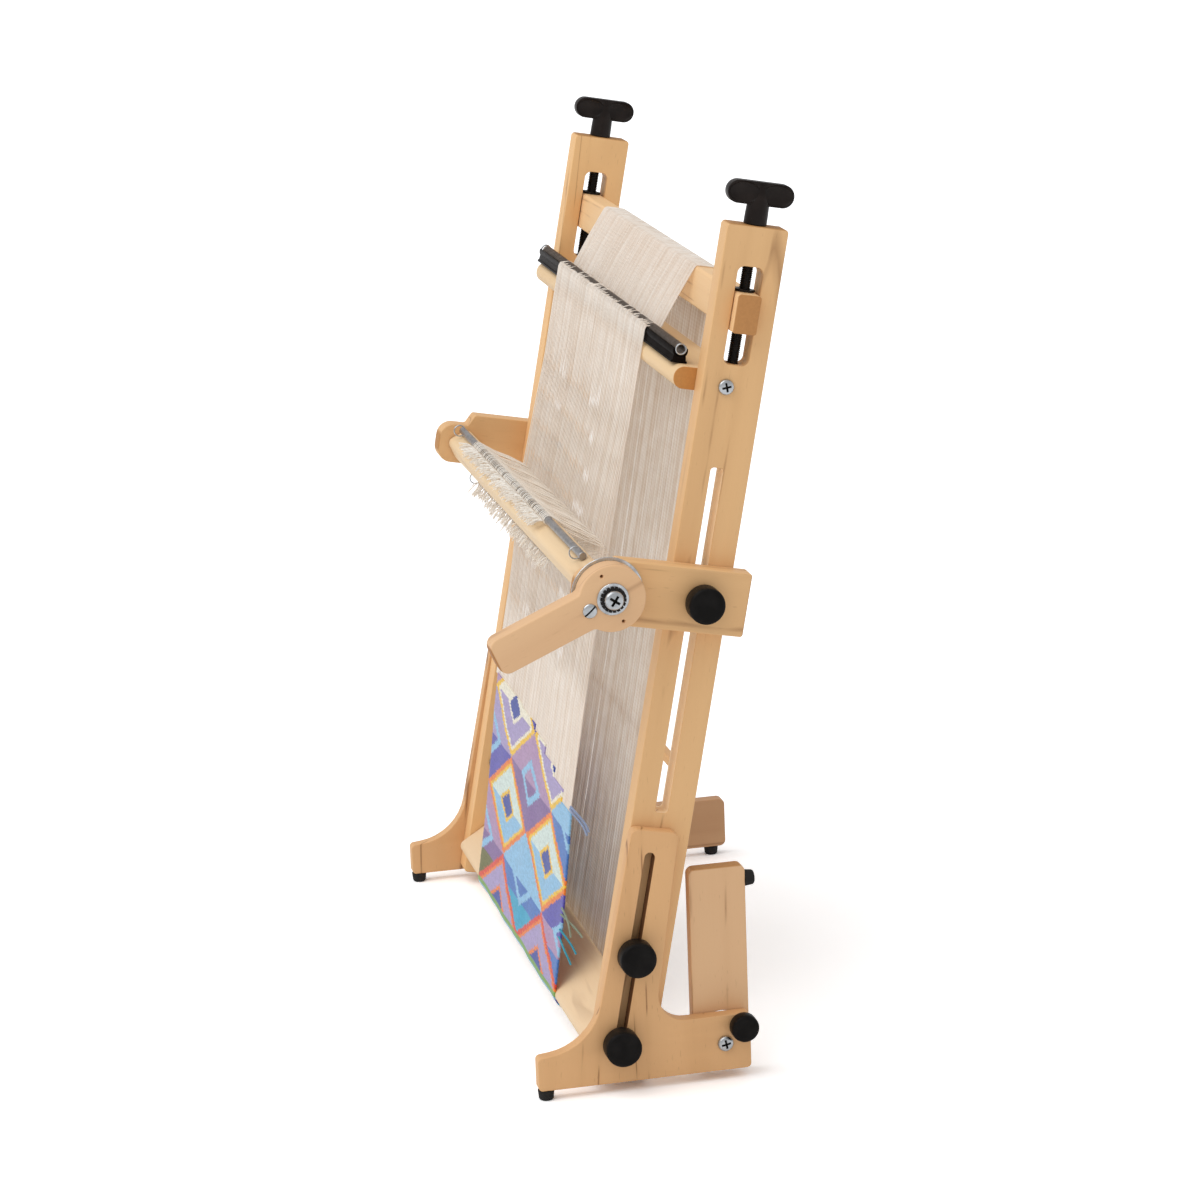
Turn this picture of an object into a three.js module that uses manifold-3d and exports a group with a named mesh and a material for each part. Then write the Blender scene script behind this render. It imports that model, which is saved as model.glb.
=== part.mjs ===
// Freestanding tapestry loom on two foot brackets, in millimetres with +Z up.
// The weaver sits at -Y and +X is the side that carries the shedding handle.
// The uprights lean back. Inside the leaning group x runs across, y runs back and z runs up them.
import * as THREE from "three";
import { mergeVertices, toCreasedNormals } from "three/addons/utils/BufferGeometryUtils.js";
import Module from "manifold-3d";

const wasm = await Module();
wasm.setup();

// Fits
const fitGap = 0.3;
const boltRadius = 4;
const boltHoleRadius = 4.4;

// Frame
const lean = THREE.MathUtils.degToRad(11.1);
const frontEdgeAtFloor = 50.6;
const weavingWidth = 550;
const boardThickness = 22;
const uprightDepth = 53;
const uprightBottom = 14;
const uprightTop = 761;
const halfWidth = weavingWidth / 2;
const outerFace = halfWidth + boardThickness;
const railLength = weavingWidth - 2 * fitGap;

// Windows in the uprights for the top beam, hung from the top of the upright
const windowToTop = 34;
const windowHeight = 83;
const beamSlotTop = uprightTop - windowToTop;
const beamSlotBottom = beamSlotTop - windowHeight;
const beamSlot = { centre: 26, width: 22, bottom: beamSlotBottom, top: beamSlotTop, radius: 6 };

// Top beam and the screws that lift it
const beamDepth = 20.5;
const beamHeight = 33;
const beamToWindowTop = 22;
const beamTop = beamSlotTop - beamToWindowTop;
const beamBottom = beamTop - beamHeight;
const beamOverhang = 11;
const beamRounding = 3;
const rodRadius = 4.8;
const rodSocketDepth = 10;
const handleHubRadius = 9.8;
const handleSpan = 59;
const handleRise = 16.5;
const handleHeight = 19.5;
const handleBottom = uprightTop + handleRise;
const handleTop = handleBottom + handleHeight;
const handleThickness = 15;
const hubSocketDepth = 14;

// Coil bar, spring and channel
const coilBarToWindow = 9.5;
const coilBarHeight = 19;
const coilBarTop = beamSlotBottom - coilBarToWindow;
const coilBarBottom = coilBarTop - coilBarHeight;
const coilBarFront = -19;
const coilBarRear = 35;
const channelRise = 10.5;
const channelCentre = [-12.5, coilBarTop + channelRise];
const channelRadius = 6.5;
const channelWall = 1.5;
const channelMouth = THREE.MathUtils.degToRad(76);
const channelEnds = [-halfWidth + fitGap, 260];
const springRadius = 4;
const springWire = 0.45;
const springTurns = 50;
const springEnds = [-270, 271];
const springEyeRadius = 5.3;

// Long slots in the uprights for the shedding arms
const armSlotToCoilBar = 59.5;
const armSlotLength = 302;
const armSlotTop = coilBarBottom - armSlotToCoilBar;
const armSlot = { centre: 24.6, width: 9, bottom: armSlotTop - armSlotLength, top: armSlotTop, radius: 2.5 };

// Bottom beam, a board turned on its edge with the warp round its nose
const bottomBeamTilt = THREE.MathUtils.degToRad(32);
const bottomBeamWidth = 56;
const bottomBeamThickness = 21;
const bottomBeamCentre = [77.7, 49.25];
const bottomBeamNose = 6.5;
const insertLength = 12;

// Rear brace, behind the warp
const braceBottom = 277.4;
const braceTop = 284.8;
const braceFront = 43.2;
const braceRear = 52.4;

// Warp and cloth
const warpEnds = [-183, 163.5];
const warpThickness = 1.2;
const clothEnds = [-175, 170];
const clothThickness = 2.4;
const clothTop = 250;

// Foot brackets
const bracketThickness = 12.5;
const bracketInner = outerFace + 0.4;
const bracketOuter = bracketInner + bracketThickness;
const footBottom = 9;
const footFront = 5;
const footRear = 194;
const footRearHeight = 50.5;
const toeTop = 39;
const postTop = 241;
const postSlot = { centre: 17.5, width: 9, bottom: 45, top: 221.5 };
const footBolts = [50, 130.5];
const pivot = [171, 34];
const lockRadius = 22;
const lockAngle = THREE.MathUtils.degToRad(46);
const toePad = 12.4;
const padRadius = 7.2;

// Foot extensions
const extensionWidth = 50;
const extensionThickness = 13;
const extensionReach = 156;
const extensionHeel = 25;
const extensionPad = 142;

// Clamping knobs
const knobRadius = 16.5;
const knobHeight = 20;
const lockKnobRadius = 13;
const lockKnobHeight = 15;
const lockStudRadius = 3;
const lockHoleRadius = lockStudRadius + fitGap;
const knobTeeth = 12;

// Shedding arms, heddle bar and handle
const armThickness = 19.5;
const armOuter = bracketInner + armThickness;
const armTop = 473;
const armBottom = 418;
const armRear = 64.5;
const armNose = -85;
const armShoulder = -52.5;
const armNeck = -58.5;
const armNeckTop = 462;
const armNeckBottom = 424;
const armKnob = [24.5, 445.4];
const axle = [-58, 444.5];
const axleRadius = 3;
const handleDrop = THREE.MathUtils.degToRad(34.5);
const heddleBarFront = -15.5;
const heddleBarRear = 9.5;
const heddleBarHalf = 12;
const heddleRodRadius = 3.5;
const heddleRodEnds = { upper: [-287, 247], lower: [-247, 287] };
const heddleRodBack = { upper: 2, lower: -8 };
const clipRadius = 5.4;
const clipWire = 0.6;
const frictionDiscRadius = 31;
const frictionDiscThickness = 1.2;
const shedHandleThickness = 19;
const shedDiscRadius = 28.5;
const leverWidth = 32;
const leverLength = 110;

const finishes = {
  wood: { color: 0xcfa47a, roughness: 0.6, metalness: 0 },
  paleWood: { color: 0xe6c69c, roughness: 0.6, metalness: 0 },
  black: { color: 0x262322, roughness: 0.45, metalness: 0 },
  blackSteel: { color: 0x35302e, roughness: 0.5, metalness: 0.6 },
  zinc: { color: 0xb9bcbd, roughness: 0.35, metalness: 0.9 },
  rubber: { color: 0x1f1d1c, roughness: 0.8, metalness: 0 },
  warp: { color: 0xe6d8c8, roughness: 0.9, metalness: 0 },
  cloth: { color: 0x8d6aa8, roughness: 0.95, metalness: 0 },
};

// Outline coordinates (back, up) are turned so that an extrusion runs along +X.
const alongX = new THREE.Matrix4().makeBasis(
  new THREE.Vector3(0, 1, 0),
  new THREE.Vector3(0, 0, 1),
  new THREE.Vector3(1, 0, 0),
);

// Corners are [x, y, radius]; each is rounded by its own radius.
function roundedOutline(corners, stepAngle = Math.PI / 7) {
  const outline = [];
  corners.forEach(([x, y, radius = 0], index) => {
    const corner = new THREE.Vector2(x, y);
    if (radius === 0) {
      outline.push(corner);
      return;
    }
    const previous = corners[(index + corners.length - 1) % corners.length];
    const next = corners[(index + 1) % corners.length];
    const back = new THREE.Vector2(previous[0] - x, previous[1] - y).normalize();
    const ahead = new THREE.Vector2(next[0] - x, next[1] - y).normalize();
    const half = Math.acos(THREE.MathUtils.clamp(back.dot(ahead), -1, 1)) / 2;
    const centre = back.clone().add(ahead).setLength(radius / Math.sin(half)).add(corner);
    const start = corner.clone().addScaledVector(back, radius / Math.tan(half));
    const end = corner.clone().addScaledVector(ahead, radius / Math.tan(half));
    const from = Math.atan2(start.y - centre.y, start.x - centre.x);
    const to = Math.atan2(end.y - centre.y, end.x - centre.x);
    const sweep = THREE.MathUtils.euclideanModulo(to - from + Math.PI, 2 * Math.PI) - Math.PI;
    const steps = Math.max(2, Math.round(Math.abs(sweep) / (radius < 5 ? Math.PI / 4 : stepAngle)));
    for (let step = 0; step <= steps; step += 1) {
      outline.push(arcPoint(centre.x, centre.y, radius, from + (sweep * step) / steps));
    }
  });
  return outline;
}

function arcPoint(x, y, radius, angle) {
  return new THREE.Vector2(x + radius * Math.cos(angle), y + radius * Math.sin(angle));
}

function arcPoints(x, y, radius, from, to, steps) {
  return Array.from({ length: steps + 1 }, (_, step) => (
    arcPoint(x, y, radius, from + ((to - from) * step) / steps)
  ));
}

function circle(x, y, radius, steps = 12) {
  return arcPoints(x, y, radius, 0, 2 * Math.PI * (1 - 1 / steps), steps - 1);
}

// Slot with round ends.
function slot({ centre, width, bottom, top }) {
  const radius = width / 2;
  return [
    ...arcPoints(centre, top - radius, radius, 0, Math.PI, 4),
    ...arcPoints(centre, bottom + radius, radius, Math.PI, 2 * Math.PI, 4),
  ];
}

// Board whose outline lies in the (back, up) plane, from x = 0 to its thickness, edges eased.
function board(outline, holes, thickness, easing = 1.2) {
  const shape = new THREE.Shape(outline);
  shape.holes = holes.map((hole) => new THREE.Path(hole));
  const geometry = new THREE.ExtrudeGeometry(shape, {
    depth: thickness - 2 * easing,
    bevelEnabled: easing > 0,
    bevelThickness: easing,
    bevelSize: easing,
    bevelOffset: -easing,
    bevelSegments: 1,
  });
  geometry.translate(0, 0, easing);
  return geometry.applyMatrix4(alongX);
}

// Turned part with its axis along +X; the profile is [radius, x].
function turned(profile, segments = 14) {
  const points = profile.map(([radius, x]) => new THREE.Vector2(radius, x));
  return new THREE.LatheGeometry(points, segments).rotateZ(-Math.PI / 2);
}

// Joined vertices, with triangles that have no area left out.
function closedSkin(geometry) {
  const bare = new THREE.BufferGeometry();
  bare.setAttribute("position", geometry.getAttribute("position").clone());
  if (geometry.index) {
    bare.setIndex(geometry.index.clone());
  }
  const joined = mergeVertices(bare, 1e-4);
  const source = joined.index.array;
  const kept = [];
  for (let corner = 0; corner < source.length; corner += 3) {
    const [a, b, c] = source.slice(corner, corner + 3);
    if (a !== b && b !== c && c !== a) {
      kept.push(a, b, c);
    }
  }
  joined.setIndex(kept);
  return joined;
}

function toSolid(geometry) {
  const skin = closedSkin(geometry);
  return new wasm.Manifold(new wasm.Mesh({
    numProp: 3,
    vertProperties: new Float32Array(skin.getAttribute("position").array),
    triVerts: new Uint32Array(skin.index.array),
  }));
}

function fromSolid(solid) {
  const mesh = solid.getMesh();
  const geometry = new THREE.BufferGeometry();
  geometry.setAttribute("position", new THREE.BufferAttribute(mesh.vertProperties, 3));
  geometry.setIndex(Array.from(mesh.triVerts));
  return geometry;
}

function cut(geometry, ...tools) {
  return fromSolid(tools.reduce((solid, tool) => solid.subtract(toSolid(tool)), toSolid(geometry)));
}

function join(geometry, ...others) {
  return fromSolid(others.reduce((solid, other) => solid.add(toSolid(other)), toSolid(geometry)));
}

function rod(radius, from, to, segments = 12) {
  return turned([[0, from], [radius, from], [radius, to], [0, to]], segments);
}

// Round tool along z.
function verticalRod(radius, from, to, segments = 12) {
  return rod(radius, from, to, segments).rotateY(-Math.PI / 2);
}

const loom = new THREE.Group();
const level = new THREE.Group();
const leaning = new THREE.Group();
leaning.rotation.x = -lean;
leaning.position.y = frontEdgeAtFloor;
level.add(leaning);
loom.add(level);

function group(parent, x = 0, y = 0, z = 0) {
  const made = new THREE.Group();
  made.position.set(x, y, z);
  parent.add(made);
  return made;
}

function part(name, geometry, finish, parent, x = 0, y = 0, z = 0) {
  const mesh = new THREE.Mesh(
    toCreasedNormals(closedSkin(geometry), THREE.MathUtils.degToRad(35)),
    new THREE.MeshStandardMaterial(finishes[finish]),
  );
  mesh.name = name;
  mesh.position.set(x, y, z);
  parent.add(mesh);
  return mesh;
}

// Place on the left what is modelled for the right: turned about the vertical.
function turnToLeft(mesh) {
  mesh.rotation.z = Math.PI;
  return mesh;
}

// From leaning coordinates (back, up) to level ones.
function levelPoint(back, up, radius = 0) {
  return [
    frontEdgeAtFloor + up * Math.sin(lean) + back * Math.cos(lean),
    up * Math.cos(lean) - back * Math.sin(lean),
    radius,
  ];
}

// The other way round.
function leaningPoint(y, z) {
  const back = y - frontEdgeAtFloor;
  return [
    back * Math.cos(lean) - z * Math.sin(lean),
    back * Math.sin(lean) + z * Math.cos(lean),
  ];
}

const nutWall = 0.9;

// Threaded insert: flange against the board, barrel in its hole, three notches in the rim.
function teeNut(threadRadius, barrelLength) {
  const flange = 9.2;
  const flangeThickness = 1.8;
  const bore = threadRadius + fitGap;
  const barrel = bore + nutWall;
  const body = turned([
    [bore, 0],
    [flange, 0],
    [flange, flangeThickness],
    [barrel, flangeThickness],
    [barrel, flangeThickness + barrelLength],
    [bore, flangeThickness + barrelLength],
    [bore, 0],
  ]);
  const notches = [0, 1, 2].map((index) => {
    const notch = new THREE.BoxGeometry(8, 3.2, 3);
    notch.translate(0, 0, flange);
    return notch.rotateX((index * 2 * Math.PI) / 3);
  });
  return cut(body, ...notches);
}

const nutFlange = 1.8;

// Hole in the wood for the barrel of such an insert.
function nutHoleRadius(threadRadius) {
  return threadRadius + fitGap + nutWall + 0.4;
}

// Knob with a stud: the seat is at x = 0 and the stud reaches back to -studLength.
function knob(radius, height, studLength, studRadius = boltRadius) {
  const geometry = turned([
    [0, -studLength],
    [studRadius, -studLength],
    [studRadius, 0],
    [radius * 0.62, 0],
    [radius * 0.62, 2],
    [radius, 4],
    [radius, height - 4],
    [radius - 2.4, height - 0.8],
    [0, height],
  ], 2 * knobTeeth);
  const position = geometry.getAttribute("position");
  for (let index = 0; index < position.count; index += 1) {
    const y = position.getY(index);
    const z = position.getZ(index);
    const turn = Math.round((Math.atan2(z, y) / Math.PI) * knobTeeth);
    if (Math.hypot(y, z) > radius - 1 && turn % 2 !== 0) {
      position.setY(index, y * 0.95);
      position.setZ(index, z * 0.95);
    }
  }
  return geometry;
}

// Pan-head screw with a cross or slot drive; the head sits on x = 0.
function panScrew(headRadius, headHeight, shankRadius, shankLength, drive) {
  const body = turned([
    [0, -shankLength],
    [shankRadius, -shankLength],
    [shankRadius, 0],
    [headRadius, 0],
    [headRadius, headHeight * 0.35],
    [headRadius * 0.8, headHeight * 0.8],
    [headRadius * 0.4, headHeight],
    [0, headHeight],
  ]);
  const blades = drive === "cross" ? [0, Math.PI / 2] : [0];
  const reach = drive === "cross" ? headRadius * 1.1 : headRadius * 2.4;
  const tools = blades.map((angle) => {
    const blade = new THREE.BoxGeometry(headHeight, headRadius * 0.24, reach);
    blade.translate(headHeight * 1.05, 0, 0);
    return blade.rotateX(angle);
  });
  return cut(body, ...tools);
}

// Strip of one thickness along a path of [back, up] points, laid on its left-hand side.
function strip(path, thickness) {
  const inner = path.map(([x, y]) => new THREE.Vector2(x, y));
  const outer = inner.map((point, index) => {
    const before = inner[Math.max(0, index - 1)];
    const after = inner[Math.min(inner.length - 1, index + 1)];
    const arriving = point.clone().sub(before).normalize();
    const leaving = after.clone().sub(point).normalize();
    const heading = arriving.add(leaving).normalize();
    const side = new THREE.Vector2(-heading.y, heading.x);
    const opening = leaving.length() ? Math.abs(heading.dot(leaving)) : 1;
    return point.clone().addScaledVector(side, thickness / Math.max(opening, 0.5));
  });
  return [...inner, ...outer.reverse()];
}

// Uprights
const uprightOutline = roundedOutline([
  [0, uprightBottom, 4],
  [uprightDepth, uprightBottom, 4],
  [uprightDepth, uprightTop, 3.5],
  [0, uprightTop, 3.5],
]);

// Window or slot with rounded corners.
function windowOutline({ centre, width, bottom, top, radius }) {
  return roundedOutline([
    [centre - width / 2, bottom, radius],
    [centre + width / 2, bottom, radius],
    [centre + width / 2, top, radius],
    [centre - width / 2, top, radius],
  ]);
}

const coilBarScrew = [20.7, (coilBarBottom + coilBarTop) / 2];
const coilScrewRadius = 2.6;
const upright = cut(
  board(uprightOutline, [
    windowOutline(beamSlot),
    windowOutline(armSlot),
    circle(coilBarScrew[0], coilBarScrew[1], coilScrewRadius + fitGap, 12),
    circle(postSlot.centre, footBolts[0], boltHoleRadius),
    circle(postSlot.centre, footBolts[1], nutHoleRadius(boltRadius)),
  ], boardThickness),
  verticalRod(rodRadius + 0.5, beamSlot.top - 2, uprightTop + 2)
    .translate(boardThickness / 2, beamSlot.centre, 0),
  verticalRod(rodRadius + 0.5, beamSlot.bottom - rodSocketDepth, beamSlot.bottom + 2)
    .translate(boardThickness / 2, beamSlot.centre, 0),
);
part("right_upright", upright, "wood", leaning, halfWidth);
part("left_upright", upright, "wood", leaning, -outerFace);

// Bottom beam
const bottomHalf = bottomBeamWidth / 2;
const bottomThick = bottomBeamThickness / 2;
const bottomBeamOutline = roundedOutline([
  [-bottomHalf, -bottomThick, 4],
  [bottomHalf, -bottomThick, 3],
  [bottomHalf, bottomThick, 3],
  [-bottomHalf, bottomThick, bottomBeamNose],
], Math.PI / 10);
const [insertY, insertZ] = levelPoint(postSlot.centre, footBolts[0]);
const insertBores = [-1, 1].flatMap((side) => [[6.3, insertLength + 2], [boltHoleRadius, insertLength + 8]]
  .map(([radius, depth]) => rod(radius, -depth, depth)
    .translate(side * halfWidth, insertY - bottomBeamCentre[0], insertZ - bottomBeamCentre[1])));
const bottomBeam = cut(
  board(bottomBeamOutline, [], railLength, 0).rotateX(bottomBeamTilt).translate(-railLength / 2, 0, 0),
  ...insertBores,
);
part("bottom_beam", bottomBeam, "paleWood", level, 0, ...bottomBeamCentre);

// Coil bar with its rounded nose, and the screws through the uprights into its ends
const coilBarOutline = roundedOutline([
  [coilBarFront, coilBarBottom, 9],
  [coilBarRear, coilBarBottom, 2],
  [coilBarRear, coilBarTop, 2],
  [coilBarFront, coilBarTop, 9],
]);
const coilScrewReach = 42;
const coilBar = cut(
  board(coilBarOutline, [], railLength, 0).translate(-railLength / 2, 0, 0),
  ...[-1, 1].map((side) => (
    rod(coilScrewRadius + fitGap, -coilScrewReach / 2, coilScrewReach / 2, 12)
      .translate(side * halfWidth, ...coilBarScrew)
  )),
);
part("coil_bar", coilBar, "paleWood", leaning);
const coilScrew = panScrew(6.7, 3.6, coilScrewRadius, coilScrewReach, "cross");
part("coil_bar_screw_right", coilScrew, "zinc", leaning, outerFace + fitGap, ...coilBarScrew);
turnToLeft(part("coil_bar_screw_left", coilScrew, "zinc", leaning, -outerFace - fitGap, ...coilBarScrew));

// Spring channel: an open tube with a foot that stands on the coil bar
const [channelBack, channelUp] = channelCentre;
const channelOutline = [
  ...arcPoints(channelBack, channelUp, channelRadius, (Math.PI + channelMouth) / 2, Math.PI * 1.32, 7),
  new THREE.Vector2(channelBack - 7, coilBarTop + fitGap + 1),
  new THREE.Vector2(channelBack - 7, coilBarTop + fitGap),
  new THREE.Vector2(channelBack + 7, coilBarTop + fitGap),
  new THREE.Vector2(channelBack + 7, coilBarTop + fitGap + 1),
  ...arcPoints(channelBack, channelUp, channelRadius, -Math.PI * 0.32, (Math.PI - channelMouth) / 2, 7),
  ...arcPoints(channelBack, channelUp, channelRadius - channelWall,
    (Math.PI - channelMouth) / 2, (channelMouth - 3 * Math.PI) / 2, 12),
];
part("spring_channel", board(channelOutline, [], channelEnds[1] - channelEnds[0], 0), "black",
  leaning, channelEnds[0]);

// Spacing spring, one tube whose last curl opens into an eye past the end of the channel
function coilSpring(from, to, radius, wire, turns, eyeRadius) {
  const stepsPerTurn = 8;
  const sides = 5;
  const steps = turns * stepsPerTurn;
  const pitch = (to - from) / turns;
  const centreLine = (step) => {
    const turn = step / stepsPerTurn;
    const opening = THREE.MathUtils.smoothstep(turn, turns - 1.25, turns - 0.75);
    const reach = THREE.MathUtils.lerp(radius, eyeRadius, opening);
    const angle = 2 * Math.PI * turn;
    return new THREE.Vector3(from + pitch * turn, reach * Math.cos(angle), reach * Math.sin(angle));
  };
  const vertices = [];
  for (let step = 0; step <= steps; step += 1) {
    const centre = centreLine(step);
    const tangent = centreLine(step + 0.5).sub(centreLine(step - 0.5)).normalize();
    const outward = new THREE.Vector3(0, centre.y, centre.z).normalize();
    const across = new THREE.Vector3().crossVectors(tangent, outward).normalize();
    for (let side = 0; side < sides; side += 1) {
      const angle = (2 * Math.PI * side) / sides;
      const point = centre.clone()
        .addScaledVector(outward, wire * Math.cos(angle))
        .addScaledVector(across, wire * Math.sin(angle));
      vertices.push(point.x, point.y, point.z);
    }
  }
  const faces = [];
  for (let step = 0; step < steps; step += 1) {
    for (let side = 0; side < sides; side += 1) {
      const a = step * sides + side;
      const b = step * sides + ((side + 1) % sides);
      faces.push(a, b, b + sides, a, b + sides, a + sides);
    }
  }
  const last = steps * sides;
  for (let side = 1; side < sides - 1; side += 1) {
    faces.push(0, side + 1, side, last, last + side, last + side + 1);
  }
  const geometry = new THREE.BufferGeometry();
  geometry.setAttribute("position", new THREE.Float32BufferAttribute(vertices, 3));
  geometry.setIndex(faces);
  return geometry;
}
part("warp_spring",
  coilSpring(springEnds[0], springEnds[1], springRadius, springWire, springTurns, springEyeRadius),
  "blackSteel", leaning, 0, channelBack, channelUp);

// Rear brace
part("rear_brace", board(roundedOutline([
  [braceFront, braceBottom, 2],
  [braceRear, braceBottom, 2],
  [braceRear, braceTop, 2],
  [braceFront, braceTop, 2],
]), [], railLength, 0), "wood", leaning, -railLength / 2);

// Top beam, held in the slots and lifted by nuts on two screws
const beamHalf = beamDepth / 2;
const beamFront = beamSlot.centre - beamHalf;
const beamRear = beamSlot.centre + beamHalf;
const beamLength = 2 * (outerFace + beamOverhang);
const rodX = halfWidth + boardThickness / 2;
const nutBarrelLength = 9;
const beamGroup = group(leaning);
const beamBlank = board(roundedOutline([
  [beamFront, beamBottom, 2],
  [beamRear, beamBottom, 2],
  [beamRear, beamTop, beamRounding],
  [beamFront, beamTop, beamRounding],
]), [], beamLength, 0.8).translate(-beamLength / 2, 0, 0);
const beamBores = [-rodX, rodX].flatMap((x) => [
  verticalRod(rodRadius + 0.5, beamBottom - 2, beamTop + 2).translate(x, beamSlot.centre, 0),
  verticalRod(nutHoleRadius(rodRadius), beamTop - nutBarrelLength - 1, beamTop + 2)
    .translate(x, beamSlot.centre, 0),
]);
part("top_beam", cut(beamBlank, ...beamBores), "wood", beamGroup);
const beamNut = teeNut(rodRadius, nutBarrelLength);
["right", "left"].forEach((side, index) => {
  const x = index === 0 ? rodX : -rodX;
  const nut = part(`${side}_beam_nut`, beamNut, "zinc", beamGroup,
    x, beamSlot.centre, beamTop + fitGap + nutFlange);
  nut.rotation.y = Math.PI / 2;
});

// Tension screws: a black rod in each upright and a wing handle on top
const hubBottom = uprightTop + fitGap;
const wing = board(roundedOutline([
  [-handleSpan / 2, handleBottom, 9],
  [handleSpan / 2, handleBottom, 9],
  [handleSpan / 2, handleTop, 7],
  [-handleSpan / 2, handleTop, 7],
]), [], handleThickness, 2.5).translate(-handleThickness / 2, 0, 0);
const hub = turned([
  [0, hubBottom],
  [handleHubRadius - 0.6, hubBottom],
  [handleHubRadius, hubBottom + 0.6],
  [handleHubRadius - 0.5, handleBottom + 3],
  [handleThickness / 2 - 1.5, handleTop - 2],
  [0, handleTop - 2],
]).rotateY(-Math.PI / 2);
const hubSocket = verticalRod(rodRadius + fitGap, hubBottom - 1, hubBottom + hubSocketDepth);
const tensionHandle = cut(join(wing, hub), hubSocket);
const rodBottom = beamSlot.bottom - rodSocketDepth + 1;
const rodTop = hubBottom + hubSocketDepth - fitGap;
["right", "left"].forEach((side, index) => {
  const screw = group(leaning, index === 0 ? rodX : -rodX, beamSlot.centre);
  part(`${side}_tension_rod`, verticalRod(rodRadius, rodBottom, rodTop), "blackSteel", screw);
  part(`${side}_tension_handle`, tensionHandle, "black", screw);
});

// Warp and cloth as strips round the beams
const beamClear = 0.4;
const noseClear = 0.5;
const [tiltedNoseBack, tiltedNoseUp] = leaningPoint(
  bottomBeamCentre[0] - (bottomHalf - bottomBeamNose) * Math.cos(bottomBeamTilt)
    - (bottomThick - bottomBeamNose) * Math.sin(bottomBeamTilt),
  bottomBeamCentre[1] - (bottomHalf - bottomBeamNose) * Math.sin(bottomBeamTilt)
    + (bottomThick - bottomBeamNose) * Math.cos(bottomBeamTilt),
);
const boardAngle = bottomBeamTilt + lean;
const noseArc = (from, to, steps) => (
  arcPoints(tiltedNoseBack, tiltedNoseUp, bottomBeamNose + noseClear, from, to, steps)
    .map(({ x, y }) => [x, y])
);
// Point of the bottom board, along its width and across its thickness, with clearance outside it.
function bottomBoardPoint(along, across) {
  const x = bottomBeamCentre[0] + along * Math.cos(bottomBeamTilt) - across * Math.sin(bottomBeamTilt);
  const y = bottomBeamCentre[1] + along * Math.sin(bottomBeamTilt) + across * Math.cos(bottomBeamTilt);
  return leaningPoint(x, y);
}
// Strip points round one lower corner of the bottom board.
function underCorner(along, radius, from, to) {
  return arcPoints(along, -bottomThick + radius, radius + noseClear, from, to, 4)
    .map(({ x, y }) => bottomBoardPoint(x, y));
}
const barNose = coilBarFront - noseClear;
const overBeam = (turn) => (
  arcPoint(
    beamSlot.centre + Math.sign(Math.cos(turn)) * (beamHalf - beamRounding),
    beamTop - beamRounding,
    beamRounding + beamClear,
    turn,
  ).toArray()
);
const frontWarpPath = [
  [beamSlot.centre, beamTop + beamClear],
  ...[0.501, 0.62, 0.75, 0.88, 1].map((turn) => overBeam(turn * Math.PI)),
  [beamFront - beamClear, beamTop - 13],
  [channelBack, channelUp + channelRadius + 0.8],
  [channelBack - 5.4, channelUp + 5.2],
  [barNose - 0.4, channelUp - 3],
  [barNose - 0.2, coilBarBottom + 4.5],
  [-20.6, (clothTop + coilBarBottom) / 2],
  [-20.9, clothTop + fitGap],
].reverse();
const clothPath = [
  [-20.3, clothTop],
  [-18.6, 212],
  [-15, 170],
  [-10.6, 104],
  ...noseArc(Math.PI * 0.96, boardAngle + Math.PI * 1.02, 6),
  bottomBoardPoint(-bottomHalf - noseClear, -3.5),
].reverse();
const backWarpPath = [
  bottomBoardPoint(-bottomHalf - noseClear, -4.2),
  ...underCorner(-bottomHalf + 4, 4, Math.PI, Math.PI * 1.5),
  ...underCorner(bottomHalf - 3, 3, Math.PI * 1.5, Math.PI * 2 - boardAngle),
  [beamRear + beamClear, beamBottom + 6],
  ...[0, 0.12, 0.25, 0.38, 0.499].map((turn) => overBeam(turn * Math.PI)),
  [beamSlot.centre + 0.6, beamTop + beamClear],
].reverse();
const warpWidth = warpEnds[1] - warpEnds[0];
const warpBands = 13;
const warpBandWidth = 9;
const warpGapWidth = (warpWidth - warpBands * warpBandWidth) / (warpBands - 1);

// Tools that open the warp into bands of threads, in rows between two heights.
function warpGaps(front, rear, bottom, top, rows) {
  const rowHeight = (top - bottom - (rows - 1) * warpBandWidth) / rows;
  return Array.from({ length: (warpBands - 1) * rows }, (_, index) => {
    const column = index % (warpBands - 1);
    const row = Math.floor(index / (warpBands - 1));
    return new THREE.BoxGeometry(warpGapWidth, rear - front, rowHeight).translate(
      warpBandWidth + warpGapWidth / 2 + column * (warpBandWidth + warpGapWidth),
      (front + rear) / 2,
      bottom + rowHeight / 2 + row * (rowHeight + warpBandWidth),
    );
  });
}

const frontWarp = cut(
  board(strip(frontWarpPath, warpThickness), [], warpWidth, 0),
  ...warpGaps(coilBarFront - 10, coilBarFront + 2, clothTop + 8, coilBarBottom - 4, 2),
  ...warpGaps(channelBack + 2, beamFront - 3, channelUp + channelRadius + 3, beamTop - 16, 1),
);
const backWarp = cut(
  board(strip(backWarpPath, warpThickness), [], warpWidth, 0),
  ...warpGaps(beamRear - 6, uprightDepth, uprightBottom + 56, beamBottom - 6, 2),
);
part("front_warp", frontWarp, "warp", leaning, warpEnds[0]);
part("back_warp", backWarp, "warp", leaning, warpEnds[0]);
part("tapestry", board(strip(clothPath, clothThickness), [], clothEnds[1] - clothEnds[0], 0), "cloth",
  leaning, clothEnds[0]);

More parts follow.
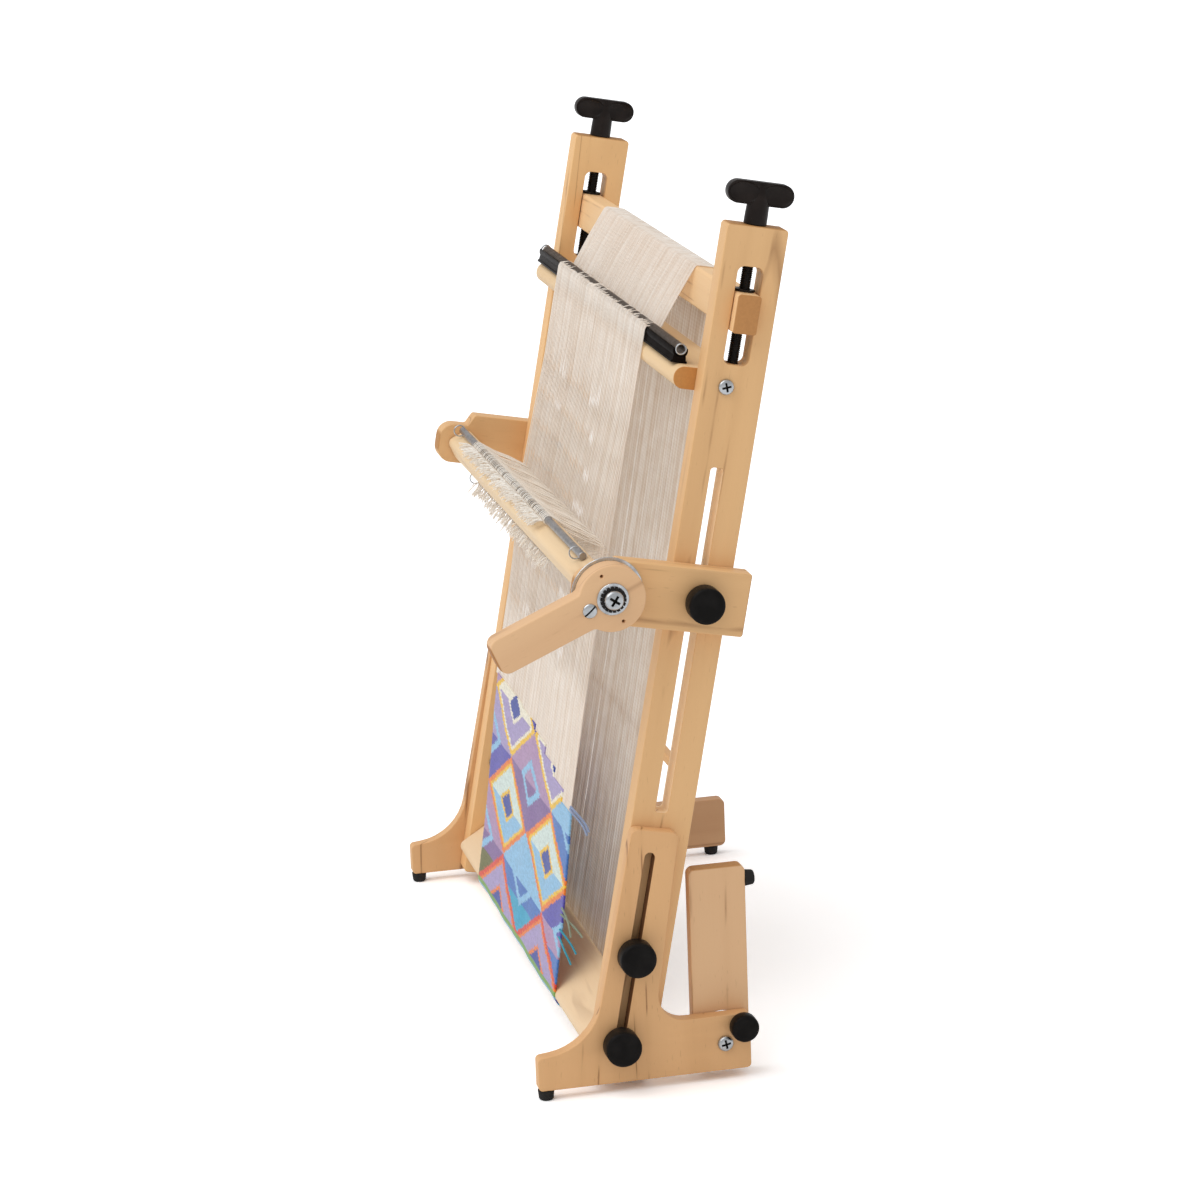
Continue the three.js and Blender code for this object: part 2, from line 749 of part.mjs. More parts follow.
// Foot knobs: the upper one grips a nut in the upright, the lower one an insert in the bottom beam
const footNut = teeNut(boltRadius, 10);
const footInsert = turned([
  [boltRadius + fitGap, 0],
  [6, 0],
  [6, insertLength],
  [boltRadius + fitGap, insertLength],
  [boltRadius + fitGap, 0],
]);
const footStuds = [halfWidth - insertLength - 2, halfWidth + 1].map((end) => bracketOuter + fitGap - end);
["right", "left"].forEach((side, sideIndex) => {
  ["lower", "upper"].forEach((row, rowIndex) => {
    const height = footBolts[rowIndex];
    const sign = sideIndex === 0 ? 1 : -1;
    const nutAt = rowIndex === 0 ? halfWidth - 2 * fitGap - insertLength : halfWidth - fitGap - nutFlange;
    const nut = part(`${side}_${row}_foot_nut`, rowIndex === 0 ? footInsert : footNut, "zinc", leaning,
      sign * nutAt, postSlot.centre, height);
    const handKnob = part(`${side}_${row}_foot_knob`, knob(knobRadius, knobHeight, footStuds[rowIndex]), "black",
      leaning, sign * (bracketOuter + fitGap), postSlot.centre, height);
    if (sign < 0) {
      turnToLeft(nut);
      turnToLeft(handKnob);
    }
  });
});

// Foot brackets, cut level with the post leaning like the upright
const lockBolt = arcPoint(...pivot, lockRadius, lockAngle);
const footTopRear = footBottom + footRearHeight;
const bracketOutline = roundedOutline([
  [footFront, footBottom, 4],
  [footRear, footBottom, 4],
  [footRear, footTopRear, 4],
  [109.3, footTopRear, 24],
  levelPoint(39.5, postTop, 6.5),
  levelPoint(-2, postTop, 6.5),
  [54, toeTop + 5, 52],
  [footFront, toeTop, 4],
]);
const bracketSlot = slot(postSlot).map(({ x, y }) => new THREE.Vector2(...levelPoint(x, y)));
const bracket = board(bracketOutline, [
  bracketSlot,
  circle(...pivot, boltHoleRadius),
  circle(lockBolt.x, lockBolt.y, lockHoleRadius),
], bracketThickness);
const extensionOutline = roundedOutline([
  [-extensionHeel, -extensionWidth / 2, 6],
  [extensionReach, -extensionWidth / 2, 6],
  [extensionReach, extensionWidth / 2, 6],
  [-extensionHeel, extensionWidth / 2, 6],
]);
// The slot lets the lock bolt stay still while the extension turns a quarter.
const slotHalfWidth = lockHoleRadius;
const lockSlot = [
  ...arcPoints(0, 0, lockRadius + slotHalfWidth, lockAngle - Math.PI / 2, lockAngle, 7),
  ...arcPoints(lockRadius * Math.cos(lockAngle), lockRadius * Math.sin(lockAngle), slotHalfWidth,
    lockAngle, lockAngle + Math.PI, 5).slice(1, -1),
  ...arcPoints(0, 0, lockRadius - slotHalfWidth, lockAngle, lockAngle - Math.PI / 2, 7),
  ...arcPoints(lockRadius * Math.sin(lockAngle), -lockRadius * Math.cos(lockAngle), slotHalfWidth,
    lockAngle + Math.PI / 2, lockAngle + Math.PI * 1.5, 5).slice(1, -1),
];
const extension = board(extensionOutline, [circle(0, 0, boltHoleRadius), lockSlot], extensionThickness);
const rubberHeight = footBottom - fitGap;
const rubberFoot = (height) => turned([
  [0, 0],
  [padRadius - 1.4, 0],
  [padRadius - 0.6, 1.5],
  [padRadius, height],
  [0, height],
]).rotateY(-Math.PI / 2);
const rubber = rubberFoot(rubberHeight);
const pivotGrip = bracketOuter - outerFace + extensionThickness + 2 * fitGap;
const pivotScrew = join(
  panScrew(6.7, 4, boltRadius - 0.5, pivotGrip + 2, "cross"),
  rod(7, -pivotGrip - 3, -pivotGrip).rotateX(Math.PI / 16),
);
const lockStud = pivotGrip + 3;
const lockKnob = join(
  knob(lockKnobRadius, lockKnobHeight, lockStud, lockStudRadius),
  rod(7, -lockStud, -pivotGrip),
);
const padHeight = pivot[1] - extensionWidth / 2 - fitGap;
const extensionInner = outerFace - extensionThickness;
const padShape = rubberFoot(padHeight);
["right", "left"].forEach((side, index) => {
  const sign = index === 0 ? 1 : -1;
  const foot = group(level);
  const boardX = sign > 0 ? bracketInner : -bracketOuter;
  part(`${side}_bracket`, bracket, "wood", foot, boardX);
  part(`${side}_front_foot`, rubber, "rubber", foot, sign * (bracketInner + bracketThickness / 2), toePad);
  const screw = part(`${side}_pivot_screw`, pivotScrew, "zinc", foot,
    sign * (bracketOuter + fitGap), ...pivot);
  const clamp = part(`${side}_extension_knob`, lockKnob, "black", foot,
    sign * (bracketOuter + fitGap), lockBolt.x, lockBolt.y);
  if (sign < 0) {
    turnToLeft(screw);
    turnToLeft(clamp);
  }
  const hinge = group(foot, 0, ...pivot);
  hinge.rotation.x = sign > 0 ? Math.PI / 2 : 0;
  part(`${side}_foot_extension`, extension, "wood", hinge, sign > 0 ? extensionInner : -outerFace);
  part(`${side}_extension_pad`, padShape, "rubber", hinge,
    sign * (extensionInner + extensionThickness / 2), extensionPad, -extensionWidth / 2 - fitGap - padHeight);
});

// Shedding arms, clamped through the middle slots
const arms = group(leaning);
const armOutline = roundedOutline([
  [armRear, armBottom, 2.5],
  [armRear, armTop, 2.5],
  [armShoulder, armTop, 3],
  [armNeck, armNeckTop, 3],
  [armNose, armNeckTop, 18.5],
  [armNose, armNeckBottom, 18.5],
  [armNeck, armNeckBottom, 3],
  [armShoulder, armBottom, 3],
]);
const arm = board(armOutline, [
  circle(...axle, axleRadius + 0.5),
  circle(...armKnob, boltHoleRadius),
], armThickness);
const slotNutPlate = 4;
const slotNutBoss = 14;
const slotNut = cut(
  join(
    board(roundedOutline([[-9, -15, 3], [9, -15, 3], [9, 15, 3], [-9, 15, 3]]), [], slotNutPlate, 0.6),
    new THREE.BoxGeometry(slotNutBoss, armSlot.width - 2 * fitGap, 18)
      .translate(slotNutPlate - 1 + slotNutBoss / 2, 0, 0),
  ),
  rod(boltRadius + fitGap, -1, slotNutPlate + slotNutBoss + 1),
);
const armStud = armOuter + fitGap - halfWidth;
["right", "left"].forEach((side, index) => {
  const sign = index === 0 ? 1 : -1;
  part(`${side}_arm`, arm, "wood", arms, sign > 0 ? bracketInner : -armOuter);
  const nut = part(`${side}_arm_slot_nut`, slotNut, "zinc", arms,
    sign * (halfWidth - fitGap - slotNutPlate), armSlot.centre, armKnob[1]);
  const handKnob = part(`${side}_arm_knob`, knob(knobRadius, knobHeight, armStud), "black", arms,
    sign * (armOuter + fitGap), armSlot.centre, armKnob[1]);
  if (sign < 0) {
    turnToLeft(nut);
    turnToLeft(handKnob);
  }
});

// Heddle bar and its handle turn together about the axle screws; y runs away from the lever.
const heddle = group(arms, 0, ...axle);
heddle.rotation.x = handleDrop;
const heddleBarHalfLength = bracketInner - 1;
const axleReach = 40;
const heddleBar = cut(
  board(roundedOutline([
    [heddleBarFront, -heddleBarHalf, 3],
    [heddleBarRear, -heddleBarHalf, 3],
    [heddleBarRear, heddleBarHalf, 3],
    [heddleBarFront, heddleBarHalf, 3],
  ]), [], 2 * heddleBarHalfLength, 0.8).translate(-heddleBarHalfLength, 0, 0),
  ...[-1, 1].map((side) => (
    rod(axleRadius + fitGap, -axleReach, axleReach, 12).translate(side * heddleBarHalfLength, 0, 0)
  )),
);
part("heddle_bar", heddleBar, "paleWood", heddle);
const heddleRodUp = heddleBarHalf + heddleRodRadius + fitGap;
const clipInset = 8;
const clipHoleRadius = 1.5;
const clipReach = clipRadius * Math.SQRT1_2 - 0.4;
[["upper", 1], ["lower", -1]].forEach(([row, sign]) => {
  const ends = heddleRodEnds[row];
  const holes = ends.map((end) => (
    rod(clipHoleRadius, -5, 5, 8).rotateZ(Math.PI / 2).rotateX((sign * Math.PI) / 4)
      .translate(end - Math.sign(end) * clipInset, 0, 0)
  ));
  const heddleRod = cut(rod(heddleRodRadius, ...ends), ...holes);
  part(`${row}_heddle_rod`, heddleRod, "zinc", heddle, 0, heddleRodBack[row], sign * heddleRodUp);
  ["left", "right"].forEach((side, index) => {
    const end = ends[index];
    part(`${side}_${row}_clip`, new THREE.TorusGeometry(clipRadius, clipWire, 5, 12)
      .rotateY(Math.PI / 2), "zinc", heddle, end - Math.sign(end) * clipInset,
    heddleRodBack[row] - clipReach, sign * (heddleRodUp + clipReach));
  });
});
part("friction_disc", board(circle(0, 0, frictionDiscRadius, 32), [circle(0, 0, axleRadius + 0.5)],
  frictionDiscThickness, 0), "zinc", heddle, armOuter + fitGap);

// Handle: a disc on the axle running into the lever, with small fillets between
const handleInner = armOuter + 2 * fitGap + frictionDiscThickness;
const leverHalf = leverWidth / 2;
const neckFillet = 6;
const neckUp = leverHalf + neckFillet;
const neckBack = -Math.sqrt((shedDiscRadius + neckFillet) ** 2 - neckUp ** 2);
const neckAngle = Math.atan2(neckUp, neckBack);
const leverEnd = roundedOutline([
  [neckBack, -leverHalf],
  [neckBack, leverHalf],
  [-leverLength, leverHalf, 9],
  [-leverLength, -leverHalf, 9],
]).slice(2);
const shedHandleOutline = [
  ...arcPoints(0, 0, shedDiscRadius, -neckAngle, neckAngle, 24),
  ...arcPoints(neckBack, neckUp, neckFillet, neckAngle - Math.PI, -Math.PI / 2, 3).slice(1),
  ...leverEnd,
  ...arcPoints(neckBack, -neckUp, neckFillet, Math.PI / 2, Math.PI - neckAngle, 3).slice(0, -1),
];
const slottedScrewAt = -21.4;
const pinHole = 21.7;
part("shed_handle", board(shedHandleOutline, [
  circle(0, 0, axleRadius + 0.5),
  circle(0, pinHole, 2.2, 10),
  circle(0, -pinHole, 2.2, 10),
  circle(slottedScrewAt, 0, 2.4, 10),
], shedHandleThickness, 1.5), "wood", heddle, handleInner);
const handleOuter = handleInner + shedHandleThickness;
const washerThickness = 1.4;
const washer = (outer) => board(circle(0, 0, outer, 24), [circle(0, 0, axleRadius + 0.5)],
  washerThickness, 0);
part("axle_washer", washer(13.6), "zinc", heddle, handleOuter + fitGap);
part("lock_washer", washer(9.5), "blackSteel", heddle, handleOuter + 2 * fitGap + washerThickness);
const axleHead = handleOuter + 3 * fitGap + 2 * washerThickness;
part("axle_screw_right",
  panScrew(7.5, 4.5, axleRadius, axleHead - heddleBarHalfLength + axleReach - 3, "cross"),
  "zinc", heddle, axleHead);
turnToLeft(part("axle_screw_left",
  panScrew(7.5, 4.5, axleRadius, armOuter + fitGap - heddleBarHalfLength + axleReach - 3, "cross"),
  "zinc", heddle, -armOuter - fitGap));
part("handle_screw", panScrew(6.6, 3.2, 2, 15, "slot"), "zinc", heddle,
  handleOuter + fitGap, slottedScrewAt);

// The origin is put under the middle of the loom, on the floor.
loom.updateMatrixWorld(true);
const box = new THREE.Box3().setFromObject(loom, true);
const middle = box.getCenter(new THREE.Vector3());
level.position.set(-middle.x, -middle.y, -box.min.z);

export default loom;
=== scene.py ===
# Freestanding tapestry loom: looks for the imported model, in metres, in the model's own frame.
# The weaver sits at -Y, and +X is the side that carries the shedding handle.
import math
import random

import bpy
import bmesh
from mathutils import Matrix, Vector


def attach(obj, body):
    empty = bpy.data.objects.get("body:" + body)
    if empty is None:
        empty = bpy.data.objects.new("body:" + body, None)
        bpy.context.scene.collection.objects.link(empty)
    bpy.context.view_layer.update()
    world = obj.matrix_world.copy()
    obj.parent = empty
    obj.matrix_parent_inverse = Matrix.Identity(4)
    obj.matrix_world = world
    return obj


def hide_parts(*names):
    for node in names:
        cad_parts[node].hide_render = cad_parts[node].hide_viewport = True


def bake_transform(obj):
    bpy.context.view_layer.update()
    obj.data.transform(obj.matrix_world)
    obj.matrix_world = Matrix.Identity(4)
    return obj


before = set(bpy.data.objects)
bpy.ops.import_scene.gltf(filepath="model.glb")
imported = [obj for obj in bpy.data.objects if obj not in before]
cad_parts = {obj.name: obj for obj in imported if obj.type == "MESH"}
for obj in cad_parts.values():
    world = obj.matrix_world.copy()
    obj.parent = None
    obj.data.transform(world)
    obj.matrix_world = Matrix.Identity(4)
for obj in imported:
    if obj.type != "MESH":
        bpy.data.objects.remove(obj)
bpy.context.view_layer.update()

# Studio
# A still camera at the photograph's place: a little above the loom, looking along the beams from the
# handle side and turned two degrees. White floor and white room, a soft sky and one broad soft sun.
mm = 0.001
loom_shift = Vector((-4.35, -150.89445, 0)) * mm
azimuth = math.radians(77.584)
elevation = math.radians(14.79)
roll = math.radians(-2.125)
seen_point = loom_shift + Vector((15.905, 139.212, 360.61)) * mm
toward_camera = Vector((
    math.sin(azimuth) * math.cos(elevation),
    -math.cos(azimuth) * math.cos(elevation),
    math.sin(elevation),
))
level_right = (-toward_camera).cross(Vector((0, 0, 1))).normalized()
level_up = level_right.cross(-toward_camera)
camera_right = level_right * math.cos(roll) + level_up * math.sin(roll)
camera_up = level_up * math.cos(roll) - level_right * math.sin(roll)
camera = bpy.data.objects.new("photo_camera", bpy.data.cameras.new("photo_camera"))
camera.data.lens = 115.82
camera.data.sensor_width = 36
camera.matrix_world = Matrix.Translation(seen_point + toward_camera * 3.5304) @ Matrix((
    camera_right, camera_up, toward_camera,
)).transposed().to_4x4()
bpy.context.scene.collection.objects.link(camera)
bpy.context.scene.camera = camera
bpy.context.scene.view_settings.view_transform = "Standard"

room = bpy.data.worlds.new("white_room")
bpy.context.scene.world = room
room.use_nodes = True
room_nodes = room.node_tree.nodes
room_links = room.node_tree.links
soft_sky = room_nodes["Background"]
soft_sky.inputs["Color"].default_value = (1, 1, 1, 1)
soft_sky.inputs["Strength"].default_value = 0.64
white_card = room_nodes.new("ShaderNodeBackground")
white_card.inputs["Color"].default_value = (1, 1, 1, 1)
white_card.inputs["Strength"].default_value = 1.0
ray = room_nodes.new("ShaderNodeLightPath")
seen = room_nodes.new("ShaderNodeMath")
seen.operation = "MAXIMUM"
room_mix = room_nodes.new("ShaderNodeMixShader")
room_links.new(ray.outputs["Is Camera Ray"], seen.inputs[0])
room_links.new(ray.outputs["Is Transmission Ray"], seen.inputs[1])
room_links.new(seen.outputs[0], room_mix.inputs[0])
room_links.new(soft_sky.outputs[0], room_mix.inputs[1])
room_links.new(white_card.outputs[0], room_mix.inputs[2])
room_links.new(room_mix.outputs[0], room_nodes["World Output"].inputs["Surface"])

sun = bpy.data.objects.new("soft_sun", bpy.data.lights.new("soft_sun", "SUN"))
sun.data.energy = 1.35
sun.data.angle = math.radians(60)
sun.rotation_euler = Vector((0.18, -0.72, 1.15)).to_track_quat("Z", "Y").to_euler()
bpy.context.scene.collection.objects.link(sun)

bpy.ops.mesh.primitive_plane_add(size=60, location=(0, 0, 0))
floor = bpy.context.active_object
floor.name = "floor"
floor_paint = bpy.data.materials.new("white_floor")
floor_paint.use_nodes = True
floor_shader = floor_paint.node_tree.nodes["Principled BSDF"]
floor_shader.inputs["Roughness"].default_value = 0.9
floor_shader.inputs["Specular IOR Level"].default_value = 0.0
# The camera sees the floor as white paper; the loom is lit by the plainer floor below it.
MIX_FIRST, MIX_SECOND, MIX_RESULT = 6, 7, 2  # places of a Mix node's colour sockets
floor_tree = floor_paint.node_tree
floor_ray = floor_tree.nodes.new("ShaderNodeLightPath")
floor_white = floor_tree.nodes.new("ShaderNodeMix")
floor_white.data_type = "RGBA"
floor_white.inputs[MIX_FIRST].default_value = (0.94, 0.94, 0.94, 1)
floor_white.inputs[MIX_SECOND].default_value = (1.38, 1.39, 1.41, 1)
floor_tree.links.new(floor_ray.outputs["Is Camera Ray"], floor_white.inputs[0])
floor_tree.links.new(floor_white.outputs[MIX_RESULT], floor_shader.inputs["Base Color"])
floor.data.materials.append(floor_paint)

# Uprights
# Two hardwood boards, sawn and sanded, with eased edges. Each has a window for the end of the top
# beam and a long slot for the shedding arm, its walls painted paler as painted light. They lean back on the
# brackets.
lean = math.radians(11.1)
quarter = math.pi / 2
leaning = Matrix.Translation(loom_shift + Vector((0, 50.6, 0)) * mm) @ Matrix.Rotation(-lean, 4, "X")
level = Matrix.Translation(loom_shift)
# A board is drawn as (back, up) and its thickness runs along +X.
board_plane = Matrix(((0, 0, 1, 0), (1, 0, 0, 0), (0, 1, 0, 0), (0, 0, 0, 1)))


def move(x, y, z):
    """A shift in millimetres."""
    return Matrix.Translation(Vector((x, y, z)) * mm)


def about_x(degrees):
    return Matrix.Rotation(math.radians(degrees), 4, "X")


def alone(piece):
    """Only this piece is selected and active."""
    bpy.ops.object.select_all(action="DESELECT")
    piece.select_set(True)
    bpy.context.view_layer.objects.active = piece


def fresh(name, data):
    """A new object in the scene, alone in the selection."""
    piece = bpy.data.objects.new(name, data)
    bpy.context.scene.collection.objects.link(piece)
    alone(piece)
    return piece


def arc(x, y, radius, start, end, steps):
    """Points along an arc, both ends included."""
    return [(x + radius * math.cos(start + (end - start) * i / steps),
             y + radius * math.sin(start + (end - start) * i / steps)) for i in range(steps + 1)]


def sawn_outline(corners, step=math.radians(9)):
    """Corners (x, y, radius), each rounded by its own radius."""
    points = []
    for i, (x, y, radius) in enumerate(corners):
        corner = Vector((x, y))
        if radius == 0:
            points.append((x, y))
            continue
        before = (Vector(corners[i - 1][:2]) - corner).normalized()
        after = (Vector(corners[(i + 1) % len(corners)][:2]) - corner).normalized()
        half = before.angle(after) / 2
        centre = corner + (before + after).normalized() * (radius / math.sin(half))
        start = corner + before * (radius / math.tan(half)) - centre
        end = corner + after * (radius / math.tan(half)) - centre
        first = math.atan2(start.y, start.x)
        sweep = (math.atan2(end.y, end.x) - first + math.pi) % (2 * math.pi) - math.pi
        steps = max(3, round(abs(sweep) / step))
        points += arc(centre.x, centre.y, radius, first, first + sweep, steps)
    return points


def round_hole(x, y, radius, steps=36):
    return arc(x, y, radius, 0, 2 * math.pi * (1 - 1 / steps), steps - 1)


def long_slot(x, width, bottom, top, steps=14):
    r = width / 2
    return arc(x, top - r, r, 0, math.pi, steps) + arc(x, bottom + r, r, math.pi, 2 * math.pi, steps)


def tidy_mesh(piece, angle=34):
    """Doubles merged, faces turned outwards, curved faces smooth."""
    alone(piece)
    bpy.ops.object.mode_set(mode="EDIT")
    bpy.ops.mesh.select_all(action="SELECT")
    bpy.ops.mesh.remove_doubles(threshold=1e-6)
    bpy.ops.mesh.normals_make_consistent(inside=False)
    bpy.ops.object.mode_set(mode="OBJECT")
    bpy.ops.object.shade_smooth_by_angle(angle=math.radians(angle))


def set_down(piece, place):
    """The piece is put in its place, and the place is kept in its mesh."""
    alone(piece)
    piece.matrix_world = place @ piece.matrix_world
    bpy.ops.object.transform_apply(location=True, rotation=True, scale=True)
    if place.determinant() < 0:
        bpy.ops.object.mode_set(mode="EDIT")
        bpy.ops.mesh.select_all(action="SELECT")
        bpy.ops.mesh.flip_normals()
        bpy.ops.object.mode_set(mode="OBJECT")
    return piece


def another(piece, name):
    """A copy with a mesh of its own."""
    made = piece.copy()
    made.data = piece.data.copy()
    made.name = name
    bpy.context.scene.collection.objects.link(made)
    return made


def sawn_board(name, outline, holes, thickness, easing=0.9, rings=3):
    """Board cut to an outline with its holes, edges eased; thickness runs from 0 along +X."""
    drawing = bpy.data.curves.new(name, "CURVE")
    drawing.dimensions = "2D"
    drawing.fill_mode = "BOTH"
    for path in [outline, *holes]:
        line = drawing.splines.new("POLY")
        line.points.add(len(path) - 1)
        for point, (x, y) in zip(line.points, path):
            point.co = (x * mm, y * mm, 0, 1)
        line.use_cyclic_u = True
    drawing.extrude = (thickness / 2 - easing) * mm
    drawing.bevel_depth = easing * mm
    drawing.bevel_resolution = rings
    drawing.offset = -easing * mm
    fresh(name, drawing)
    bpy.ops.object.convert(target="MESH")
    piece = bpy.context.active_object
    piece.name = name
    tidy_mesh(piece)
    return set_down(piece, board_plane @ move(0, 0, thickness / 2))


def combine(piece, tool, operation):
    """The tool is cut out of the piece or joined to it, and thrown away."""
    alone(piece)
    change = piece.modifiers.new("change", "BOOLEAN")
    change.operation = operation
    change.solver = "EXACT"
    change.object = tool
    bpy.ops.object.modifier_apply(modifier=change.name)
    bpy.data.objects.remove(tool)


def carve(piece, *tools):
    for tool in tools:
        combine(piece, tool, "DIFFERENCE")
    bpy.ops.object.shade_smooth_by_angle(angle=math.radians(34))
    return piece


def peg(radius, start, end, axis, place=(0, 0, 0), sides=32):
    """Round cutting tool in millimetres, from start to end along one axis through a place."""
    middle = Vector(place)
    middle["xyz".index(axis)] += (start + end) / 2
    turn = {"x": (0, math.pi / 2, 0), "y": (math.pi / 2, 0, 0), "z": (0, 0, 0)}[axis]
    bpy.ops.object.select_all(action="DESELECT")
    bpy.ops.mesh.primitive_cylinder_add(
        vertices=sides, radius=radius * mm, depth=(end - start) * mm, location=middle * mm, rotation=turn,
    )
    made = bpy.context.active_object
    bpy.ops.object.transform_apply(location=True, rotation=True, scale=True)
    return made


def tone(code):
    """Colour from its six-figure code, as the shaders take it."""
    parts = [int(code[i:i + 2], 16) / 255 for i in (0, 2, 4)]
    return tuple(c / 12.92 if c <= 0.04045 else ((c + 0.055) / 1.055) ** 2.4 for c in parts) + (1.0,)


def feed(tree, value, given):
    """An input takes a plain value or another node's output."""
    if isinstance(value, (int, float, tuple)):
        given.default_value = value
    else:
        tree.links.new(value, given)


def step(tree, operation, *values):
    """One Math node."""
    made = tree.nodes.new("ShaderNodeMath")
    made.operation = operation
    for i, value in enumerate(values):
        feed(tree, value, made.inputs[i])
    return made.outputs[0]


def spread(tree, value, low, high, out_low=0.0, out_high=1.0):
    """A value stretched from one range to another and kept inside it."""
    made = tree.nodes.new("ShaderNodeMapRange")
    for name, given in (("Value", value), ("From Min", low), ("From Max", high), ("To Min", out_low),
                        ("To Max", out_high)):
        feed(tree, given, made.inputs[name])
    return made.outputs["Result"]


def blended(tree, factor, first, second):
    made = tree.nodes.new("ShaderNodeMix")
    made.data_type = "RGBA"
    for place, value in ((0, factor), (MIX_FIRST, first), (MIX_SECOND, second)):
        feed(tree, value, made.inputs[place])
    return made.outputs[MIX_RESULT]


def stretched(tree, vector, scale):
    made = tree.nodes.new("ShaderNodeVectorMath")
    made.operation = "MULTIPLY"
    tree.links.new(vector, made.inputs[0])
    made.inputs[1].default_value = scale
    return made.outputs[0]


def noise(tree, vector, scale, detail=2.0, rough=0.5):
    made = tree.nodes.new("ShaderNodeTexNoise")
    for name, value in (("Vector", vector), ("Scale", scale), ("Detail", detail), ("Roughness", rough)):
        feed(tree, value, made.inputs[name])
    return made.outputs["Fac"]


# Close-grained hardwood: a broad faint figure, a few thin brown lines that come and go along the grain,
# short dark flecks and darker end grain.
grain = bpy.data.node_groups.new("hardwood_grain", "ShaderNodeTree")
for way, name, kind in (
    ("INPUT", "Vector", "Vector"), ("INPUT", "Pale", "Color"), ("INPUT", "Deep", "Color"),
    ("INPUT", "Line", "Color"), ("INPUT", "End", "Color"), ("INPUT", "Half Length", "Float"),
    ("INPUT", "Figure", "Float"), ("OUTPUT", "Color", "Color"), ("OUTPUT", "Roughness", "Float"),
    ("OUTPUT", "Height", "Float"),
):
    grain.interface.new_socket(name=name, in_out=way, socket_type=f"NodeSocket{kind}")
given = grain.nodes.new("NodeGroupInput").outputs
found = grain.nodes.new("NodeGroupOutput").inputs


def grain_noise(along, scale, detail, rough):
    """Noise drawn out along the board."""
    return noise(grain, stretched(grain, given["Vector"], (1.0, 1.0, along)), scale, detail, rough)


broad = spread(grain, grain_noise(0.10, 22.0, 2.0, 0.5), 0.30, 0.70)
fibre = grain_noise(0.02, 1300.0, 2.0, 0.6)
# A growth line is one height of a slow noise, drawn out along the board and rubbed away in places.
cycle = step(grain, "FRACT", step(grain, "MULTIPLY", grain_noise(0.05, 13.0, 1.0, 0.4), 11.0))
off_line = step(grain, "ABSOLUTE", step(grain, "SUBTRACT", cycle, 0.5))
kept = spread(grain, grain_noise(0.22, 62.0, 1.0, 0.5), 0.50, 0.58)
growth = step(grain, "MULTIPLY", spread(grain, off_line, 0.0, 0.075, 1.0, 0.0), kept)
soft_growth = spread(grain, off_line, 0.0, 0.30, 1.0, 0.0)
rays = spread(grain, grain_noise(0.16, 620.0, 1.0, 0.5), 0.70, 0.77)
apart = grain.nodes.new("ShaderNodeSeparateXYZ")
grain.links.new(given["Vector"], apart.inputs[0])
past_end = step(grain, "SUBTRACT", step(grain, "ABSOLUTE", apart.outputs["Z"]), given["Half Length"])
end_mask = spread(grain, past_end, -0.0012, -0.0002)
end_rings = noise(grain, given["Vector"], 420.0, 3.0, 0.6)


def parts_of(first, first_share, second, second_share):
    """The sum of two values, each by its share."""
    return step(grain, "ADD", step(grain, "MULTIPLY", first, first_share),
                step(grain, "MULTIPLY", second, second_share))


face = blended(grain, step(grain, "ADD", step(grain, "MULTIPLY", broad, 0.6),
                           parts_of(fibre, 0.2, soft_growth, 0.2)), given["Pale"], given["Deep"])
marks = step(grain, "MULTIPLY", given["Figure"], parts_of(growth, 0.5, rays, 0.14))
face = blended(grain, marks, face, given["Line"])
end_face = blended(grain, spread(grain, end_rings, 0.3, 0.7, 0.0, 0.18), given["End"], given["Line"])
grain.links.new(blended(grain, end_mask, face, end_face), found["Color"])
grain.links.new(step(grain, "ADD", spread(grain, fibre, 0.3, 0.7, 0.46, 0.60),
                     step(grain, "MULTIPLY", end_mask, 0.15)), found["Roughness"])
grain.links.new(parts_of(fibre, 0.5, growth, -0.3), found["Height"])


def shader(name, **uniform):
    """A new material with its Principled shader's plain values set on the shader itself."""
    material = bpy.data.materials.new(name)
    material.use_nodes = True
    bsdf = material.node_tree.nodes["Principled BSDF"]
    for key, value in uniform.items():
        bsdf.inputs[key.replace("_", " ")].default_value = value
    return material, material.node_tree, bsdf


def relief(tree, bsdf, height, distance, strength=1.0):
    bump = tree.nodes.new("ShaderNodeBump")
    bump.inputs["Strength"].default_value = strength
    bump.inputs["Distance"].default_value = distance
    tree.links.new(height, bump.inputs["Height"])
    tree.links.new(bump.outputs["Normal"], bsdf.inputs["Normal"])


